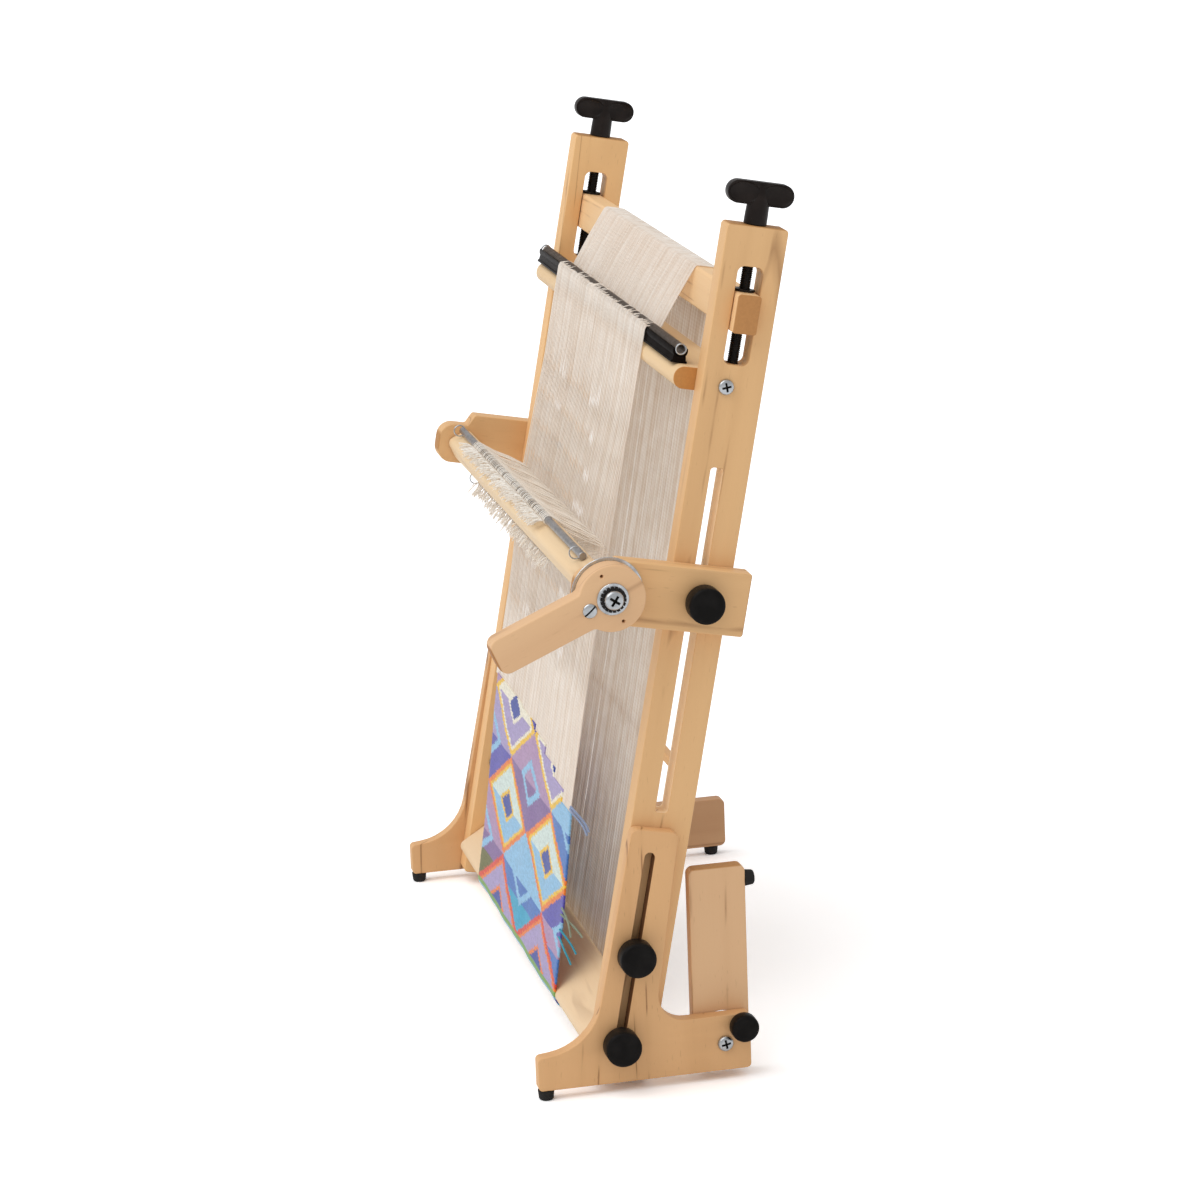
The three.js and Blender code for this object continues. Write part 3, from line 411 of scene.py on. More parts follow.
def waxed_wood(name, board_frame, half_length=10.0, pale="E8BB85", deep="D9AB77", end="BC8850", seed=0.0,
               figure=1.0):
    """Oiled wood. board_frame puts the board's own axes in the model: z runs along its grain."""
    material, tree, bsdf = shader(name, Specular_IOR_Level=0.35, Coat_Weight=0.06, Coat_Roughness=0.4)
    turned_to = tree.nodes.new("ShaderNodeMapping")
    into = board_frame.inverted()
    turned_to.inputs["Rotation"].default_value = into.to_euler()
    turned_to.inputs["Location"].default_value = into.to_translation()
    tree.links.new(tree.nodes.new("ShaderNodeTexCoord").outputs["Object"], turned_to.inputs["Vector"])
    moved = tree.nodes.new("ShaderNodeVectorMath")
    moved.operation = "ADD"
    moved.inputs[1].default_value = (seed * 0.37, seed * 0.61, 0.0)
    tree.links.new(turned_to.outputs[0], moved.inputs[0])
    wood = tree.nodes.new("ShaderNodeGroup")
    wood.node_tree = grain
    tree.links.new(moved.outputs[0], wood.inputs["Vector"])
    for key, value in (("Pale", tone(pale)), ("Deep", tone(deep)), ("Line", tone("8A5A34")), ("End", tone(end)),
                       ("Half Length", half_length), ("Figure", figure)):
        wood.inputs[key].default_value = value
    tree.links.new(wood.outputs["Color"], bsdf.inputs["Base Color"])
    tree.links.new(wood.outputs["Roughness"], bsdf.inputs["Roughness"])
    relief(tree, bsdf, wood.outputs["Height"], 0.00008, 0.4)
    return material


def finished(piece, material, body, slot, *nodes, inner=None):
    """The piece gets its finish, rides its body and stands for these solids. Faces marked 1 get the
    inner finish."""
    marked = [polygon.material_index if inner else 0 for polygon in piece.data.polygons]
    piece.data.materials.clear()
    piece.data.materials.append(material)
    if inner:
        piece.data.materials.append(inner)
    piece.data.polygons.foreach_set("material_index", marked)
    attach(piece, body)
    if nodes:
        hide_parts(*nodes)
    return piece


def both_sides(piece, right_place, left_place, materials, body, slot, node, inner=None):
    """A right piece and its left copy, each set down and finished; left names follow the right ones."""
    copy = another(piece, piece.name.replace("right", "left", 1))
    for side, each, place, material in (("right", piece, right_place, materials[0]),
                                        ("left", copy, left_place, materials[1])):
        set_down(each, place)
        finished(each, material, body.replace("right", side, 1), slot, node.replace("right", side, 1),
                 inner=inner)


slot_near, slot_far, slot_bottom, slot_top = 19.4, 30.4, 254, 556
beside = 0.5
upright_outline = sawn_outline([(0, 14, 4), (53, 14, 4), (53, 761, 3.5), (0, 761, 3.5)])
beam_window = sawn_outline([(15, 644, 6), (37, 644, 6), (37, 727, 6), (15, 727, 6)])
arm_slot = sawn_outline([(slot_near, slot_bottom, 2.8), (slot_far, slot_bottom, 2.8),
                         (slot_far, slot_top, 2.8), (slot_near, slot_top, 2.8)])
upright = sawn_board("right_upright_board", upright_outline, [
    beam_window, arm_slot, round_hole(20.7, 625, 2.9),
    round_hole(17.5, 50, 4.4), round_hole(17.5, 130.5, 5.6),
], 22)
carve(upright, peg(5.3, 725, 763, "z", (11, 26, 0)), peg(5.3, 634, 646, "z", (11, 26, 0)))
# The slot's walls get a paler copy of the wood as painted light.
for polygon in upright.data.polygons:
    back, up = polygon.center.y / mm, polygon.center.z / mm
    polygon.material_index = int(slot_near - beside < back < slot_far + beside
                                 and slot_bottom - beside < up < slot_top + beside
                                 and abs(polygon.normal.x) < 0.4)
slot_wood_painted_light = waxed_wood("slot_walls_painted_light", leaning, 10, "FFE4BE", "F8D8AC", seed=1.5)
both_sides(upright, leaning @ move(275, 0, 0), leaning @ move(-297, 0, 0), (
    waxed_wood("upright_wood_right", leaning @ move(286, 26.5, 387.5), 0.3735, seed=1.0),
    waxed_wood("upright_wood_left", leaning @ move(-286, 26.5, 387.5), 0.3735, "F2C48A", "E6B67E", seed=2.0),
), "frame", "wood", "right_upright", inner=slot_wood_painted_light)

# Cross pieces
# Bars between the uprights: the bottom beam on its edge, the rounded coil bar, the rear brace, and the
# top beam that slides in the windows. Paler wood than the boards, with orange end grain.
across = Matrix.Rotation(quarter, 4, "Y")


def rail(name, corners, length, easing, place=Matrix.Identity(4)):
    """A bar of this section, centred across the loom."""
    piece = sawn_board(name, sawn_outline(corners), [], length, easing)
    return set_down(piece, place @ move(-length / 2, 0, 0))


def bar_frame(place, back, up, tilt=0.0):
    """Axes of a bar that runs along X."""
    return place @ move(0, back, up) @ Matrix.Rotation(tilt, 4, "X") @ across


clear_length = 549.4
clear_half = clear_length / 2 * mm
beam_tilt = math.radians(32)
bottom_beam = rail("bottom_beam_board", [(-28, -10.5, 4), (28, -10.5, 3), (28, 10.5, 3), (-28, 10.5, 6.5)],
                   clear_length, 0.6)
set_down(bottom_beam, level @ move(0, 77.7, 49.25) @ Matrix.Rotation(beam_tilt, 4, "X"))
finished(bottom_beam, waxed_wood("bottom_beam_wood", bar_frame(level, 77.7, 49.25, beam_tilt), clear_half,
                                 "ECD2AF", "E2C197", "C58E52", seed=3.0, figure=0.5),
         "frame", "pale_wood", "bottom_beam")

coil_bar = rail("coil_bar_rail", [(-19, 615.5, 9), (35, 615.5, 2), (35, 634.5, 2), (-19, 634.5, 9)],
                clear_length, 0.6, leaning)
finished(coil_bar, waxed_wood("coil_bar_wood", bar_frame(leaning, 8, 625), clear_half,
                              "EDCFA4", "E3C090", "C88A48", seed=4.0, figure=0.5),
         "frame", "pale_wood", "coil_bar")

rear_brace = rail("rear_brace_rail", [(43.2, 277.4, 1.5), (52.4, 277.4, 1.5), (52.4, 284.8, 1.5),
                                      (43.2, 284.8, 1.5)], clear_length, 0.5, leaning)
finished(rear_brace, waxed_wood("rear_brace_wood", bar_frame(leaning, 47.8, 281.1), clear_half, seed=5.0),
         "frame", "wood", "rear_brace")

top_beam = rail("top_beam_rail", [(15.75, 672, 2), (36.25, 672, 2), (36.25, 705, 3), (15.75, 705, 3)], 616, 0.9)
for x in (-286, 286):
    carve(top_beam, peg(5.3, 660, 720, "z", (x, 26, 0)), peg(6.4, 695, 720, "z", (x, 26, 0)))
set_down(top_beam, leaning)
finished(top_beam, waxed_wood("top_beam_wood", bar_frame(leaning, 26, 688), 0.308,
                              "F5CE9C", "EBC08E", "C08850", seed=6.0), "beam", "wood", "top_beam")

# Foot brackets and their extensions
# Each foot is one board with a long toe, a heel and a post with a slot for the two clamping knobs; the
# slot's walls are painted dark brown as painted shade. A slotted board is hinged to the heel, folded on the right
# and out on the left; the left one is painted darker as painted shade.
def up_the_lean(back, up, radius=0):
    """Level (back, up) of a point given along and across the leaning upright."""
    return (50.6 + up * math.sin(lean) + back * math.cos(lean),
            up * math.cos(lean) - back * math.sin(lean), radius)


pivot = (171, 34)
lock_reach, lock_angle = 22, math.radians(46)
lock_at = (pivot[0] + lock_reach * math.cos(lock_angle), pivot[1] + lock_reach * math.sin(lock_angle))
bracket_outline = sawn_outline([
    (5, 9, 4), (194, 9, 4), (194, 59.5, 4), (109.3, 59.5, 24), up_the_lean(39.5, 241, 6.5),
    up_the_lean(-2, 241, 6.5), (54, 44, 52), (5, 39, 4),
])
post_slot_width = 9
bracket_slot = [up_the_lean(x, y)[:2] for x, y in long_slot(17.5, post_slot_width, 45, 221.5)]
bracket = sawn_board("right_bracket_board", bracket_outline, [
    bracket_slot, round_hole(*pivot, 4.4), round_hole(*lock_at, 3.3),
], 12.5)
slot_low, slot_high = (Vector(up_the_lean(17.5, up)[:2]) for up in (49.5, 217))
slot_run = slot_high - slot_low
# The slot's walls get a dark brown wood as painted shade.
for polygon in bracket.data.polygons:
    centre = Vector(polygon.center[1:]) / mm
    gone = min(1.0, max(0.0, (centre - slot_low).dot(slot_run) / slot_run.length_squared))
    off_slot = (centre - (slot_low + slot_run * gone)).length - post_slot_width / 2
    polygon.material_index = int(off_slot < 0.7 and abs(polygon.normal.x) < 0.4)
dark_slot_painted_shade = waxed_wood("slot_walls_painted_shade", level, 10, "7E5536", "6E482C", seed=7.5)
both_sides(bracket, level @ move(297.4, 0, 0), level @ move(-309.9, 0, 0), [
    waxed_wood(f"bracket_wood_{side}", level @ move(middle, 97, 100), 10, "E2B27E", "D3A26F", seed=seed,
               figure=1.7)
    for side, middle, seed in (("right", 303.65, 7.0), ("left", -303.65, 8.0))
], "right_foot", "wood", "right_bracket", inner=dark_slot_painted_shade)

slot_half = 3.3
lock_slot = (
    arc(0, 0, lock_reach + slot_half, lock_angle - quarter, lock_angle, 24)
    + arc(lock_reach * math.cos(lock_angle), lock_reach * math.sin(lock_angle), slot_half,
          lock_angle, lock_angle + math.pi, 12)[1:-1]
    + arc(0, 0, lock_reach - slot_half, lock_angle, lock_angle - quarter, 20)
    + arc(lock_reach * math.sin(lock_angle), -lock_reach * math.cos(lock_angle), slot_half,
          lock_angle + quarter, lock_angle + 3 * quarter, 12)[1:-1]
)
extension = sawn_board("right_extension_board", sawn_outline([
    (-25, -25, 6), (156, -25, 6), (156, 25, 6), (-25, 25, 6),
]), [round_hole(0, 0, 4.4), lock_slot], 13)
at_pivot = level @ move(0, *pivot)
folded = at_pivot @ Matrix.Rotation(quarter, 4, "X")
lengthwise = Matrix.Rotation(-quarter, 4, "X")
# The left extension's wood is painted darker than the right's as painted shade.
both_sides(extension, folded @ move(284, 0, 0), at_pivot @ move(-297, 0, 0), (
    waxed_wood("extension_wood_right", folded @ move(290.5, 65.5, 0) @ lengthwise, 0.0905,
               "E3BA8E", "D8AD82", seed=9.0),
    waxed_wood("extension_wood_left", at_pivot @ move(-290.5, 65.5, 0) @ lengthwise, 0.0905,
               "CDA077", "BF9068", seed=10.0),
), "right_extension", "wood", "right_foot_extension")

# Screws
# Zinc-plated machine screws with pan heads: one through each upright into the coil bar, one at each
# foot pivot, and the axle screws and slotted screw of the shedding handle.
def turned(name, profile, steps=48, angle=34):
    """Turned on the X axis from a profile of (radius, x) in millimetres."""
    line = bpy.data.meshes.new(name)
    line.from_pydata([(x * mm, radius * mm, 0) for radius, x in profile],
                     [(i, i + 1) for i in range(len(profile) - 1)], [])
    piece = fresh(name, line)
    bpy.ops.object.mode_set(mode="EDIT")
    bpy.ops.mesh.select_all(action="SELECT")
    bpy.ops.mesh.spin(steps=steps, angle=2 * math.pi, center=(0, 0, 0), axis=(1, 0, 0))
    bpy.ops.object.mode_set(mode="OBJECT")
    tidy_mesh(piece, angle)
    return piece


def block(size, centre, turn=(0, 0, 0)):
    """A cutting block in millimetres."""
    bpy.ops.object.select_all(action="DESELECT")
    bpy.ops.mesh.primitive_cube_add(size=1, location=Vector(centre) * mm, rotation=turn)
    made = bpy.context.active_object
    made.scale = Vector(size) * mm
    bpy.ops.object.transform_apply(location=True, rotation=True, scale=True)
    return made


def plated_steel(name, colour, rough, scratch=0.16, metal=1.0):
    """Plating with a cloudy bloom and fine wipe marks."""
    material, tree, bsdf = shader(name, Metallic=metal)
    where = tree.nodes.new("ShaderNodeTexCoord").outputs["Object"]
    cloud = noise(tree, where, 160.0, 3.0, 0.6)
    wiped = noise(tree, stretched(tree, where, (1.0, 0.2, 1.0)), 1500.0, 2.0, 0.6)
    pale = tone(colour)
    dull = tuple(c * 0.72 for c in pale[:3]) + (1.0,)
    tree.links.new(blended(tree, spread(tree, cloud, 0.35, 0.7), pale, dull),
              bsdf.inputs["Base Color"])
    haze = step(tree, "ADD", spread(tree, cloud, 0.3, 0.7, rough - 0.06, rough + scratch),
                spread(tree, wiped, 0.4, 0.6, -0.03, 0.05))
    tree.links.new(haze, bsdf.inputs["Roughness"])
    relief(tree, bsdf, wiped, 0.00002, 0.4)
    return material


def pan_screw(name, head, height, shank, length, drive):
    """Pan head on x = 0 with a drive recess; the shank runs back along -X."""
    profile = [(0, -length), (shank * 0.75, -length), (shank, -length + 1.2), (shank, 0), (head, 0)]
    profile += [(head, height * 0.28)]
    profile += [(head - head * 0.45 * (1 - math.cos(a)), height * (0.28 + 0.62 * math.sin(a)))
                for a in [math.radians(v) for v in (20, 40, 60, 80)]]
    profile += [(head * 0.42, height * 0.96), (head * 0.2, height), (0, height)]
    piece = turned(name, profile)
    if drive == "cross":
        deep = height * 1.5
        blades = [block((deep, head * 0.27, head * 1.2), (height * 1.0, 0, 0), (a, 0, 0)) for a in (0, quarter)]
        centre = block((deep * 1.15, head * 0.42, head * 0.42), (height * 0.95, 0, 0), (quarter / 2, 0, 0))
        carve(piece, *blades, centre)
    else:
        carve(piece, block((height * 1.1, head * 2.4, head * 0.24), (height * 1.05, 0, 0)))
    # Faces inside the drive recess are marked for a darker finish, painted shade.
    for polygon in piece.data.polygons:
        x, y, z = polygon.center
        polygon.material_index = int(0 < x < height * 0.86 * mm and math.hypot(y, z) < head * 0.6 * mm)
    return piece


zinc = plated_steel("zinc_plating", "C9CDD1", 0.24)
# The drive recesses are painted dark grey as painted shade.
recess_painted_shade = plated_steel("recess_shade", "34322F", 0.5)
turned_round = Matrix.Rotation(math.pi, 4, "Z")
both_sides(pan_screw("coil_bar_screw_head_right", 6.7, 3.6, 2.6, 42, "cross"),
           leaning @ move(297.3, 20.7, 625) @ about_x(20), leaning @ move(-297.3, 20.7, 625) @ turned_round,
           (zinc, zinc), "frame", "zinc", "coil_bar_screw_right", inner=recess_painted_shade)

for side_name, side in (("right", 1), ("left", -1)):
    at_hinge = (level @ move(side * 310.2, *pivot)
                @ (about_x(12) if side > 0 else turned_round))
    pivot_screw = pan_screw(f"{side_name}_pivot_screw_head", 6.9, 4, 3.5, 29.6, "cross")
    set_down(pivot_screw, at_hinge)
    finished(pivot_screw, zinc, f"{side_name}_foot", "zinc", f"{side_name}_pivot_screw", inner=recess_painted_shade)
    hinge_nut = turned(f"{side_name}_pivot_screw_nut", [(3.6, -29.4), (6.4, -29.4), (7.0, -29.0), (7.0, -26.9),
                                                        (6.4, -26.5), (3.6, -26.5), (3.6, -29.4)], 6, 30)
    set_down(hinge_nut, at_hinge)
    finished(hinge_nut, zinc, f"{side_name}_foot", "zinc", f"{side_name}_pivot_screw")

# Hand knobs
# Round moulded knobs with finely ribbed rims on threaded studs: four clamp the feet, two clamp the
# shedding arms and two smaller ones lock the foot extensions.
def moulded(name, colour="0D0B0A", rough=0.42, pits=2600.0, shine=0.1):
    """Black nylon with a fine spark texture and slightly paler cloudy patches."""
    material, tree, bsdf = shader(name, Specular_IOR_Level=shine)
    where = tree.nodes.new("ShaderNodeTexCoord").outputs["Object"]
    grain_fine = noise(tree, where, pits, 2.0, 0.6)
    cloud = noise(tree, where, 70.0, 2.0, 0.5)
    base = tone(colour)
    worn = tuple(min(1.0, c * 1.7 + 0.003) for c in base[:3]) + (1.0,)
    tree.links.new(blended(tree, spread(tree, cloud, 0.4, 0.75), base, worn), bsdf.inputs["Base Color"])
    tree.links.new(spread(tree, grain_fine, 0.3, 0.7, rough - 0.05, rough + 0.08), bsdf.inputs["Roughness"])
    relief(tree, bsdf, grain_fine, 0.00004, 0.35)
    return material


black_nylon = moulded("black_nylon")
dull_nylon = moulded("dull_black_nylon", "19120F", 0.34, 1800.0, 0.17)


def ribbed_knob(name, radius, height, stud, ribs, thread=4, plate=False):
    """Seat at x = 0, nearly flat face at the top, ribs round the rim. A plate may end the stud."""
    crown = [(radius * f, height - 0.45 * (f / 0.84) ** 2) for f in (0.84, 0.66, 0.44, 0.2, 0)]
    tip = [(0, -stud), (6.6, -stud), (7, -stud + 0.4), (7, -stud + 3), (thread, -stud + 3)] if plate else [
        (0, -stud), (thread - 0.8, -stud), (thread, -stud + 1)]
    profile = [*tip, (thread, 0), (radius * 0.62, 0), (radius * 0.62, 1.4),
               (radius * 0.7, 2.0), (radius - 1.5, 2.4), (radius - 0.4, 3.0), (radius, 4.0),
               (radius, height - 3.4), (radius - 0.3, height - 2.2), (radius - 0.9, height - 1.2), *crown]
    piece = turned(name, profile, ribs * 4, 40)
    alone(piece)
    for vertex in piece.data.vertices:
        x, y, z = vertex.co
        turn = round(math.atan2(z, y) / (2 * math.pi) * ribs * 4)
        vertex.select = math.hypot(y, z) > (radius - 1.6) * mm and turn % 4 in (0, 1)
    bpy.ops.object.mode_set(mode="EDIT")
    bpy.ops.mesh.select_mode(type="VERT")
    bpy.ops.object.mode_set(mode="OBJECT")
    for vertex in piece.data.vertices:
        if vertex.select:
            vertex.co.y *= 1 - 0.7 / radius
            vertex.co.z *= 1 - 0.7 / radius
    bpy.ops.object.shade_smooth_by_angle(angle=math.radians(40))
    return piece


foot_knobs = {
    "right_lower": (1, 50, 49.2),
    "right_upper": (1, 130.5, 34.2),
    "left_lower": (-1, 50, 49.2),
    "left_upper": (-1, 130.5, 34.2),
}
for spin_by, (name, (side, up, stud)) in enumerate(foot_knobs.items()):
    knob = ribbed_knob(f"{name}_knob_head", 16.5, 20, stud, 58)
    set_down(knob, leaning @ move(side * 310.2, 17.5, up)
             @ (Matrix.Identity(4) if side > 0 else turned_round) @ Matrix.Rotation(0.7 * spin_by, 4, "X"))
    finished(knob, black_nylon, f"{name}_knob", "black_plastic", f"{name}_foot_knob")
for side_name, side in (("right", 1), ("left", -1)):
    way = Matrix.Identity(4) if side > 0 else turned_round
    knob = ribbed_knob(f"{side_name}_arm_knob_head", 16.5, 20, 42.2, 58)
    set_down(knob, leaning @ move(side * 317.2, 24.6, 445.4) @ way)
    finished(knob, black_nylon, f"{side_name}_arm_clamp", "black_plastic", f"{side_name}_arm_knob")
    knob = ribbed_knob(f"{side_name}_extension_knob_head", 13, 15, 29.5, 46, thread=3, plate=True)
    set_down(knob, level @ move(side * 310.2, *lock_at) @ way)
    finished(knob, black_nylon, f"{side_name}_lock_knob", "black_plastic", f"{side_name}_extension_knob")

# Tension screws
# A black threaded rod stands in each upright, passes through a prong nut in the top beam and carries a
# wing handle with dished faces. Turning the handles lifts the beam and tightens the warp.
def threaded_rod(name, radius, bottom, top, pitch=1.5875, steps=20):
    """Rod along Z with a rolled thread, made by winding one tooth up the rod."""
    turns = math.ceil((top - bottom) / pitch)
    depth = 0.62
    tooth = [(radius - depth, 0.0), (radius - depth, pitch * 0.22), (radius, pitch * 0.5),
             (radius, pitch * 0.68), (radius - depth, pitch)]
    line = bpy.data.meshes.new(name)
    line.from_pydata([(r * mm, 0, z * mm) for r, z in tooth], [(i, i + 1) for i in range(len(tooth) - 1)], [])
    piece = fresh(name, line)
    wound = piece.modifiers.new("wound", "SCREW")
    wound.axis = "Z"
    wound.angle = 2 * math.pi
    wound.screw_offset = pitch * mm
    wound.iterations = turns
    wound.steps = steps
    wound.render_steps = steps
    wound.use_merge_vertices = True
    wound.merge_threshold = 1e-6
    bpy.ops.object.modifier_apply(modifier=wound.name)
    bpy.ops.object.mode_set(mode="EDIT")
    bpy.ops.mesh.select_all(action="SELECT")
    bpy.ops.mesh.remove_doubles(threshold=1e-6)
    bpy.ops.mesh.select_all(action="DESELECT")
    bpy.ops.mesh.select_mode(type="EDGE")
    bpy.ops.mesh.select_non_manifold()
    bpy.ops.mesh.edge_face_add()
    bpy.ops.mesh.select_all(action="SELECT")
    bpy.ops.mesh.normals_make_consistent(inside=False)
    bpy.ops.object.mode_set(mode="OBJECT")
    bpy.ops.object.shade_smooth_by_angle(angle=math.radians(30))
    for vertex in piece.data.vertices:
        vertex.co.z = min(vertex.co.z, (top - bottom) * mm) + bottom * mm
    return piece


blackened = plated_steel("blackened_thread", "2A2624", 0.42, 0.12, 0.8)
rod_places = [leaning @ move(x, 26, 0) for x in (286, -286)]
both_sides(threaded_rod("right_threaded_rod", 4.8, 635, 775), *rod_places, (blackened, blackened),
           "right_tension_screw", "black_steel", "right_tension_rod")

wing = sawn_board("right_wing_handle", sawn_outline(
    [(-28.7, 777.5, 9.6), (28.7, 777.5, 9.6), (28.7, 797, 9.6), (-28.7, 797, 9.6)], math.radians(7)),
    [], 10.4, 0.7, 3)
set_down(wing, move(-5.2, 0, 0))
hub = turned("hub", [(0, 761.3), (9.2, 761.3), (9.8, 761.9), (9.7, 770), (9.3, 780.5), (8.2, 788), (6.0, 795),
                     (0, 795.2)], 48)
set_down(hub, Matrix.Rotation(-quarter, 4, "Y"))
combine(wing, hub, "UNION")
for side in (-1, 1):
    for face in (-1, 1):
        bpy.ops.object.select_all(action="DESELECT")
        bpy.ops.mesh.primitive_uv_sphere_add(segments=64, ring_count=40, radius=mm)
        scoop = bpy.context.active_object
        scoop.scale = (3.5, 13.6, 9.1)
        scoop.location = Vector((face * 5.8, side * 14.4, 787.25)) * mm
        bpy.ops.object.transform_apply(location=True, rotation=True, scale=True)
        carve(wing, scoop)
carve(wing, peg(5.1, 755, 775.3, "z"))
both_sides(wing, *rod_places, (dull_nylon, dull_nylon), "right_tension_screw", "black_plastic",
           "right_tension_handle")


def prong_nut(name, flange, thick, barrel, bore, length):
    """Flange on x = 0 with three notches in its rim; the barrel runs along +X."""
    piece = turned(name, [(bore, 0), (flange - 0.5, 0), (flange, 0.5), (flange, thick - 0.4), (flange - 0.4, thick),
                          (barrel, thick), (barrel, thick + length), (bore, thick + length), (bore, 0)])
    notches = []
    for i in range(3):
        notch = block((8, 3.2, 3), (0, 0, flange))
        set_down(notch, Matrix.Rotation(i * 2 * math.pi / 3, 4, "X"))
        notches.append(notch)
    return carve(piece, *notches)


nose_down = Matrix.Rotation(quarter, 4, "Y")
both_sides(prong_nut("right_beam_prong_nut", 9.2, 1.8, 6.0, 5.1, 9),
           leaning @ move(286, 26, 707.1) @ nose_down, leaning @ move(-286, 26, 707.1) @ nose_down,
           (blackened, blackened), "beam", "zinc", "right_beam_nut")

# Spring and channel
# A black extruded channel stands on the coil bar and holds the spacing spring, whose coils keep the
# warp ends apart. The spring ends in a bright open eye past each end of the channel.
channel_line = (
    arc(-12.5, 645, 6.5, math.radians(160), math.radians(216), 16)
    + [(-18.4, 637.0), (-19.5, 636.3), (-19.5, 634.9), (-5.5, 634.9), (-5.5, 636.3), (-6.6, 637.0)]
    + arc(-12.5, 645, 6.5, math.radians(-36), math.radians(20), 16)
    + arc(-12.5, 645, 5.0, math.radians(20), math.radians(-200), 40)
)
channel = sawn_board("spring_channel_extrusion", channel_line, [], 534.7, 0.12, 1)
set_down(channel, leaning @ move(-274.7, 0, 0))
glossy_black = moulded("glossy_black_extrusion", "120D0B", 0.36, 900.0, 0.12)
glossy_black.node_tree.nodes["Principled BSDF"].inputs["IOR"].default_value = 1.2
finished(channel, glossy_black, "frame", "black_plastic", "spring_channel")


def strands(name, paths, radius, sides=6, shades=None):
    """Round strands in one mesh. Each keeps its length in its UV map and its own shade in an
    attribute."""
    vertices, faces, uvs, tints = [], [], [], []
    for number, path in enumerate(paths):
        path = [Vector(p) for p in path]
        tangents = [(path[min(i + 1, len(path) - 1)] - path[max(i - 1, 0)]).normalized()
                    for i in range(len(path))]
        side = tangents[0].orthogonal().normalized()
        first = len(vertices)
        length = 0.0
        lengths = []
        for i, (point, tangent) in enumerate(zip(path, tangents)):
            side = (side - tangent * side.dot(tangent)).normalized()
            other = tangent.cross(side)
            if i:
                length += (point - path[i - 1]).length
            lengths.append(length)
            for k in range(sides):
                a = 2 * math.pi * k / sides
                vertices.append(point + (side * math.cos(a) + other * math.sin(a)) * radius)
        for i in range(len(path) - 1):
            for k in range(sides):
                a, b = first + i * sides + k, first + i * sides + (k + 1) % sides
                faces.append((a, b, b + sides, a + sides))
                uvs += [(lengths[i], k / sides), (lengths[i], (k + 1) / sides),
                        (lengths[i + 1], (k + 1) / sides), (lengths[i + 1], k / sides)]
        faces.append(tuple(first + k for k in reversed(range(sides))))
        faces.append(tuple(first + (len(path) - 1) * sides + k for k in range(sides)))
        uvs += [(0.0, 0.0)] * sides + [(length, 0.0)] * sides
        tints += [shades[number] if shades else 0.5] * (len(path) * sides)
    mesh = bpy.data.meshes.new(name)
    mesh.from_pydata(vertices, [], faces)
    layer = mesh.uv_layers.new(name="along")
    layer.data.foreach_set("uv", [c for uv in uvs for c in uv])
    shade = mesh.attributes.new("shade", "FLOAT", "POINT")
    shade.data.foreach_set("value", tints)
    piece = fresh(name, mesh)
    bpy.ops.object.shade_smooth_by_angle(angle=math.radians(60))
    return piece


# The real spring has a turn for every warp end, closer than the solids show, and its coils stand
# above the mouth of the channel.
warp_count = 136
warp_left, warp_right = -182.2, 162.7
end_spacing = (warp_right - warp_left) / (warp_count - 1)
spring_turns, spring_start = 208, warp_left - 34.75 * end_spacing


def spring_point(turn, reach):
    return leaning @ (Vector((spring_start + end_spacing * turn, -12.5 + reach * math.cos(2 * math.pi * turn),
                              646.6 + reach * math.sin(2 * math.pi * turn))) * mm)


spring_line = [spring_point(i / 12, 4.15) for i in range((spring_turns - 1) * 12 + 1)]
spring = strands("warp_spring_coil", [spring_line], 0.5 * mm, 6)
spring_wire = plated_steel("spring_wire", "8C8178", 0.34, 0.12, 0.9)
finished(spring, spring_wire, "frame", "black_steel", "warp_spring")
eye_lines = [[spring_point(turn + way * i / 20, 4.15 + 0.25 * min(1.0, i / 6))
              + Vector((way * (step_out * min(1.0, i / 5) - 0.1 * i), 0, 0)) * mm for i in range(25)]
             for turn, way, step_out in ((spring_turns - 1, 1, 2.4), (0, -1, 4.4))]
spring_eye = strands("warp_spring_eyes", eye_lines, 0.7 * mm, 10)
finished(spring_eye, zinc, "frame", "zinc", "warp_spring")

